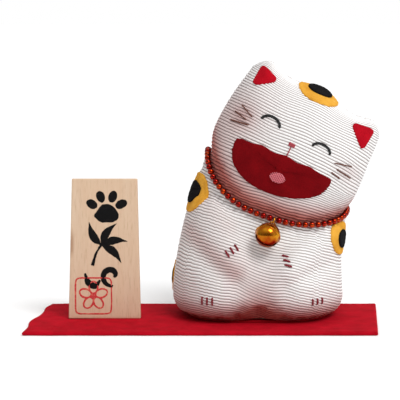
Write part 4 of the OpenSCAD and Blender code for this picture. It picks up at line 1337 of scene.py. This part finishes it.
def brush_stroke(path, widths, seed, across=8, dry=0.0, count=56):
    """A brush stroke on the board: fuller in its middle, thin at its edges, ragged where dry."""
    path = smooth_path(path, count)
    run = np.linspace(0, 1, count)
    width = np.interp(run, np.linspace(0, 1, len(widths)), widths)
    rng = np.random.default_rng(seed)
    way = unit(np.gradient(path, axis=0))
    side = np.column_stack([-way[:, 1], way[:, 0]])
    ragged = [np.convolve(rng.normal(0, 0.07 + dry * run, count), np.ones(3) / 3, "same")
              for _ in (0, 1)]
    points, faces = [], []
    for k in range(count):
        for i in range(across + 1):
            place = -1 + 2 * i / across
            edge = width[k] / 2 + ragged[int(place > 0)][k]
            x, up = path[k] + side[k] * place * max(0.03, edge)
            rise = ink_height * (1 - place**4) - 0.02
            points.append(on_board(x, -rise, up))
    for k in range(count - 1):
        for i in range(across):
            a = k * (across + 1) + i
            faces.append([a, a + across + 1, a + across + 2, a + 1])
    return np.array(points), turned_over(faces)


def blot(middle, half, seed, turn=0.0, lobes=0.0, n=40, rings=5):
    """A pressed blot of ink, round or lobed."""
    rng = np.random.default_rng(seed)
    angles = np.arange(n) * 2 * math.pi / n
    ragged = np.convolve(rng.normal(0, 0.03, n + 2), np.ones(3) / 3, "valid")
    wobble = 1 + lobes * np.cos(3 * angles + math.pi / 2) + ragged
    c, sn = compass(turn)
    points = [on_board(middle[0], -ink_height + 0.02, middle[1])]
    for q in np.arange(1, rings + 1) / rings:
        x, y = half[0] * q * wobble * np.cos(angles), half[1] * q * wobble * np.sin(angles)
        rise = ink_height * (1 - q**4) - 0.02
        points += list(on_board(middle[0] + c * x - sn * y, -rise, middle[1] + sn * x + c * y))
    return np.array(points), turned_over(disc_faces(rings, n))


paw_height, sprig_height, curl_height = (share * plaque_height for share in (0.8, 0.525, 0.307))
drawings = [blot((1, paw_height - 3.6), (5.9, 4.8), 1, lobes=0.09)]
for k, toe in enumerate((-62, -21, 21, 62)):
    c, sn = compass(toe)
    drawings.append(blot((1 - 8.2 * sn, paw_height - 2.4 + 7.8 * c), (2.2, 3.1), 10 + k, turn=toe))
sprig, leaf_length = np.array([-1.5, sprig_height]), 13
for k, angle in enumerate((-42, 8, 55, 118)):
    way, bend = compass(angle), compass(angle + 90)
    path = [sprig + way * d + bend * 1.5 * math.sin(math.pi * d / leaf_length)
            for d in np.linspace(0.3, leaf_length, 6)]
    drawings.append(brush_stroke(path, [0.5, 3.4, 4.4, 3.4, 1.6, 0.1], 30 + k))
stem = sprig + [(-4.5, -10), (-2.6, -4), (0.4, 1)]
drawings.append(brush_stroke(stem, [1.9, 1.3, 1.0, 1.5], 40, dry=0.05))
curl = np.array([3.5, curl_height])
spiral = [curl + (1.2 + 4.2 * q) * np.array([math.cos(5.4 * q - 0.6), math.sin(5.4 * q - 0.6)])
          for q in np.linspace(0, 1, 9)]
drawings.append(brush_stroke(spiral, [1.2, 2.6, 3.2, 3.0, 2.6, 1.6], 50))
hook = curl + [(-13.2, 1.2), (-11.5, -3.4), (-8.2, -5), (-5.6, -2.2)]
drawings.append(brush_stroke(hook, [1.0, 3.4, 3.2, 0.8], 51, dry=0.08))
ink = mesh_piece("brush_drawings", *joined(drawings), "plaque")
# Carbon brush ink soaked into raw wood: near black and almost matt, greyer where the brush ran dry.
carbon_ink = new_material("carbon_brush_ink", Roughness=0.7, Specular_IOR_Level=0.12)
dry_patch = ranged(carbon_ink, noise(carbon_ink, 800.0, 4.0), 0.6, 0.85)
drive(carbon_ink, "Base Color", blend(carbon_ink, dry_patch, "0b0b0c", "292523"))
ink.data.materials.append(carbon_ink)
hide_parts("plaque_ink")

seal_side, seal_low = 18.5, (-plaque_width / 2 + 3, 2.0)
seal_middle = np.array([seal_low[0] + seal_side / 2, seal_low[1] + seal_side / 2])
half = seal_side / 2 - 0.4
stamp_corner = 0.785
stamp_turns = np.linspace(stamp_corner, stamp_corner + 2 * math.pi, 120)
stamp_path = [seal_middle + half * signed_power(np.array([math.cos(w), math.sin(w)]), 0.22)
              for w in stamp_turns]
stamp_parts = []
for k in range(0, 119, 17):
    widths = [0.85, 0.7, 0.9, 0.75, 0.85]
    stamp_parts.append(brush_stroke(stamp_path[k:k + 18], widths, 60 + k, across=4))
for k in range(5):
    way, bend = compass(90 + 72 * k), compass(180 + 72 * k)
    petal = [seal_middle + way * (1.2 + 5.9 * (0.5 - 0.5 * math.cos(w))) + bend * 2.1 * math.sin(w)
             for w in np.linspace(0, 2 * math.pi, 15)]
    stamp_parts.append(brush_stroke(petal, [0.9, 1.0, 0.8, 1.0, 0.9], 80 + k, across=4))
stamp_parts.append(blot(seal_middle, (1.1, 1.1), 90))
stamp = mesh_piece("red_stamp", *joined(stamp_parts), "plaque")
# Vermilion stamp paste, pressed on with a cut block: thin and patchy, so the wood shows through.
stamp_paste = new_material("vermilion_stamp_paste", Roughness=0.6)
thin = ranged(stamp_paste, noise(stamp_paste, 1100.0, 3.0), 0.5, 0.72)
drive(stamp_paste, "Base Color", blend(stamp_paste, thin, "c4262b", "dd7b62"))
stamp.data.materials.append(stamp_paste)
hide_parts("plaque_seal")

# ---- Felt mat
# A skewed strip of crimson wool felt, cut by hand, so its left end runs in shallow waves.

mat_length, mat_depth, mat_skew = 168.4, 77, 7.2
mat_thickness = mat_top
edge_round, inner_edge = 1.2, 2.2
edge_steps = [0, 0.08, 0.25, 0.5, 0.8, edge_round]


def mat_line(reach, count):
    """Grid lines across the mat, closer together at its rounded edges."""
    inner = np.linspace(inner_edge, reach - inner_edge, count)
    return np.array(edge_steps + list(inner) + [reach - e for e in edge_steps[::-1]])


gx, gy = np.meshgrid(mat_line(mat_length, 150), mat_line(mat_depth, 66))
from_edge = np.minimum(np.minimum(gx, mat_length - gx), np.minimum(gy, mat_depth - gy))
curve = 1 - np.sqrt(np.maximum(0, 1 - np.maximum(0, 1 - from_edge / edge_round)**2))
f = gy / mat_depth
cut_waves = 2.1 * swell((f - 0.38) / 0.13) + 1.3 * swell((f - 0.85) / 0.1)
wave_x = -cut_waves * (1 - gx / mat_length)**12
cut_waver = (0.15 * np.sin(gx / 5.1) * swell((mat_depth - gy) / 4)
             + 0.12 * np.sin(gx / 3.7 + 1) * swell(gy / 4))
rng = np.random.default_rng(3)
hollow = low_waves(rng, gx, gy, 9, 0.05, (18, 60))
pile = rng.normal(0, 0.025, gx.shape)
x = -mat_length / 2 + gx + mat_skew * f + wave_x
y = -mat_depth / 2 + gy + cut_waver
top = mat_thickness + np.minimum(0, hollow) + pile - (mat_thickness / 2) * curve
bottom = mat_thickness / 2 * curve
ny, nx = gx.shape
mat_points = np.vstack([np.stack([x, y, z], -1).reshape(-1, 3) for z in (top, bottom)])
border = from_edge.ravel() <= 1e-9
under = np.where(border, np.arange(nx * ny), np.arange(nx * ny) + nx * ny)
mat_faces = []
for j in range(ny - 1):
    for i in range(nx - 1):
        a, b, c, d = j * nx + i, j * nx + i + 1, (j + 1) * nx + i + 1, (j + 1) * nx + i
        mat_faces.append([a, b, c, d])
        mat_faces.append([int(under[v]) for v in (a, d, c, b)])
mat_points[:nx * ny][border, 2] = mat_thickness / 2
used = sorted({v for face in mat_faces for v in face})
number = {v: n for n, v in enumerate(used)}
mat_faces = [[number[v] for v in face] for face in mat_faces]
felt_mat = mesh_piece("felt_mat", mat_points[used], mat_faces, "mat")
mat_felt = felt_material("pressed_crimson_felt", "c20a22", "a20618", fuzz=0.02)
felt_mat.data.materials.append(mat_felt)
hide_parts("mat")

# ---- Floor and light
# The object stands on a wide sheet of white paper, in a bright room with one large soft light
# high on the right, in front of it.

floor_half = 30
floor = new_object("floor", [(-1, -1, 0), (1, -1, 0), (1, 1, 0), (-1, 1, 0)], [(0, 1, 2, 3)], floor_half)
paper = new_material("matt_white_paper", Roughness=0.9, Base_Color=colour("ffffff"))
floor.data.materials.append(paper)

sun_data = bpy.data.lights.new("overhead_softbox", "SUN")
sun_data.energy = 1.6
sun_data.angle = math.radians(28)
sun = bpy.data.objects.new("overhead_softbox", sun_data)
sun.rotation_euler = Vector((-0.5, 0.75, -1.0)).to_track_quat("-Z", "Y").to_euler()
bpy.context.scene.collection.objects.link(sun)
# a room that is bright overhead, brighter on the right, and dark where the camera stands
world = bpy.data.worlds.new("studio")
bpy.context.scene.world = world
world.use_nodes = True
walls = world.node_tree.nodes["Background"]
walls.inputs["Color"].default_value = colour("f6f6f6")
way = add(world, "ShaderNodeTexCoord").outputs["Generated"]
bright_way = (0.25, 0, 0.75)
tilt = add(world, "ShaderNodeVectorMath", {"operation": "DOT_PRODUCT", 1: bright_way}, {0: way})
bright = sum_of(world, "ADD", tilt.outputs["Value"], 0.34)
depth = add(world, "ShaderNodeSeparateXYZ", {}, {0: way}).outputs["Y"]
strength = sum_of(world, "MULTIPLY", bright, ranged(world, depth, -0.97, -0.65, 0.3, 1.0))
world.node_tree.links.new(sum_of(world, "MAXIMUM", strength, 0.08), walls.inputs["Strength"])
# the camera itself sees plain white all round
seen = add(world, "ShaderNodeBackground", {"Color": colour("ffffff")}).outputs[0]
to_camera = add(world, "ShaderNodeLightPath").outputs["Is Camera Ray"]
choice = add(world, "ShaderNodeMixShader", {}, {0: to_camera, 1: walls.outputs[0], 2: seen})
surface = world.node_tree.nodes["World Output"].inputs["Surface"]
world.node_tree.links.new(choice.outputs[0], surface)
bpy.context.scene.view_settings.view_transform = "Standard"
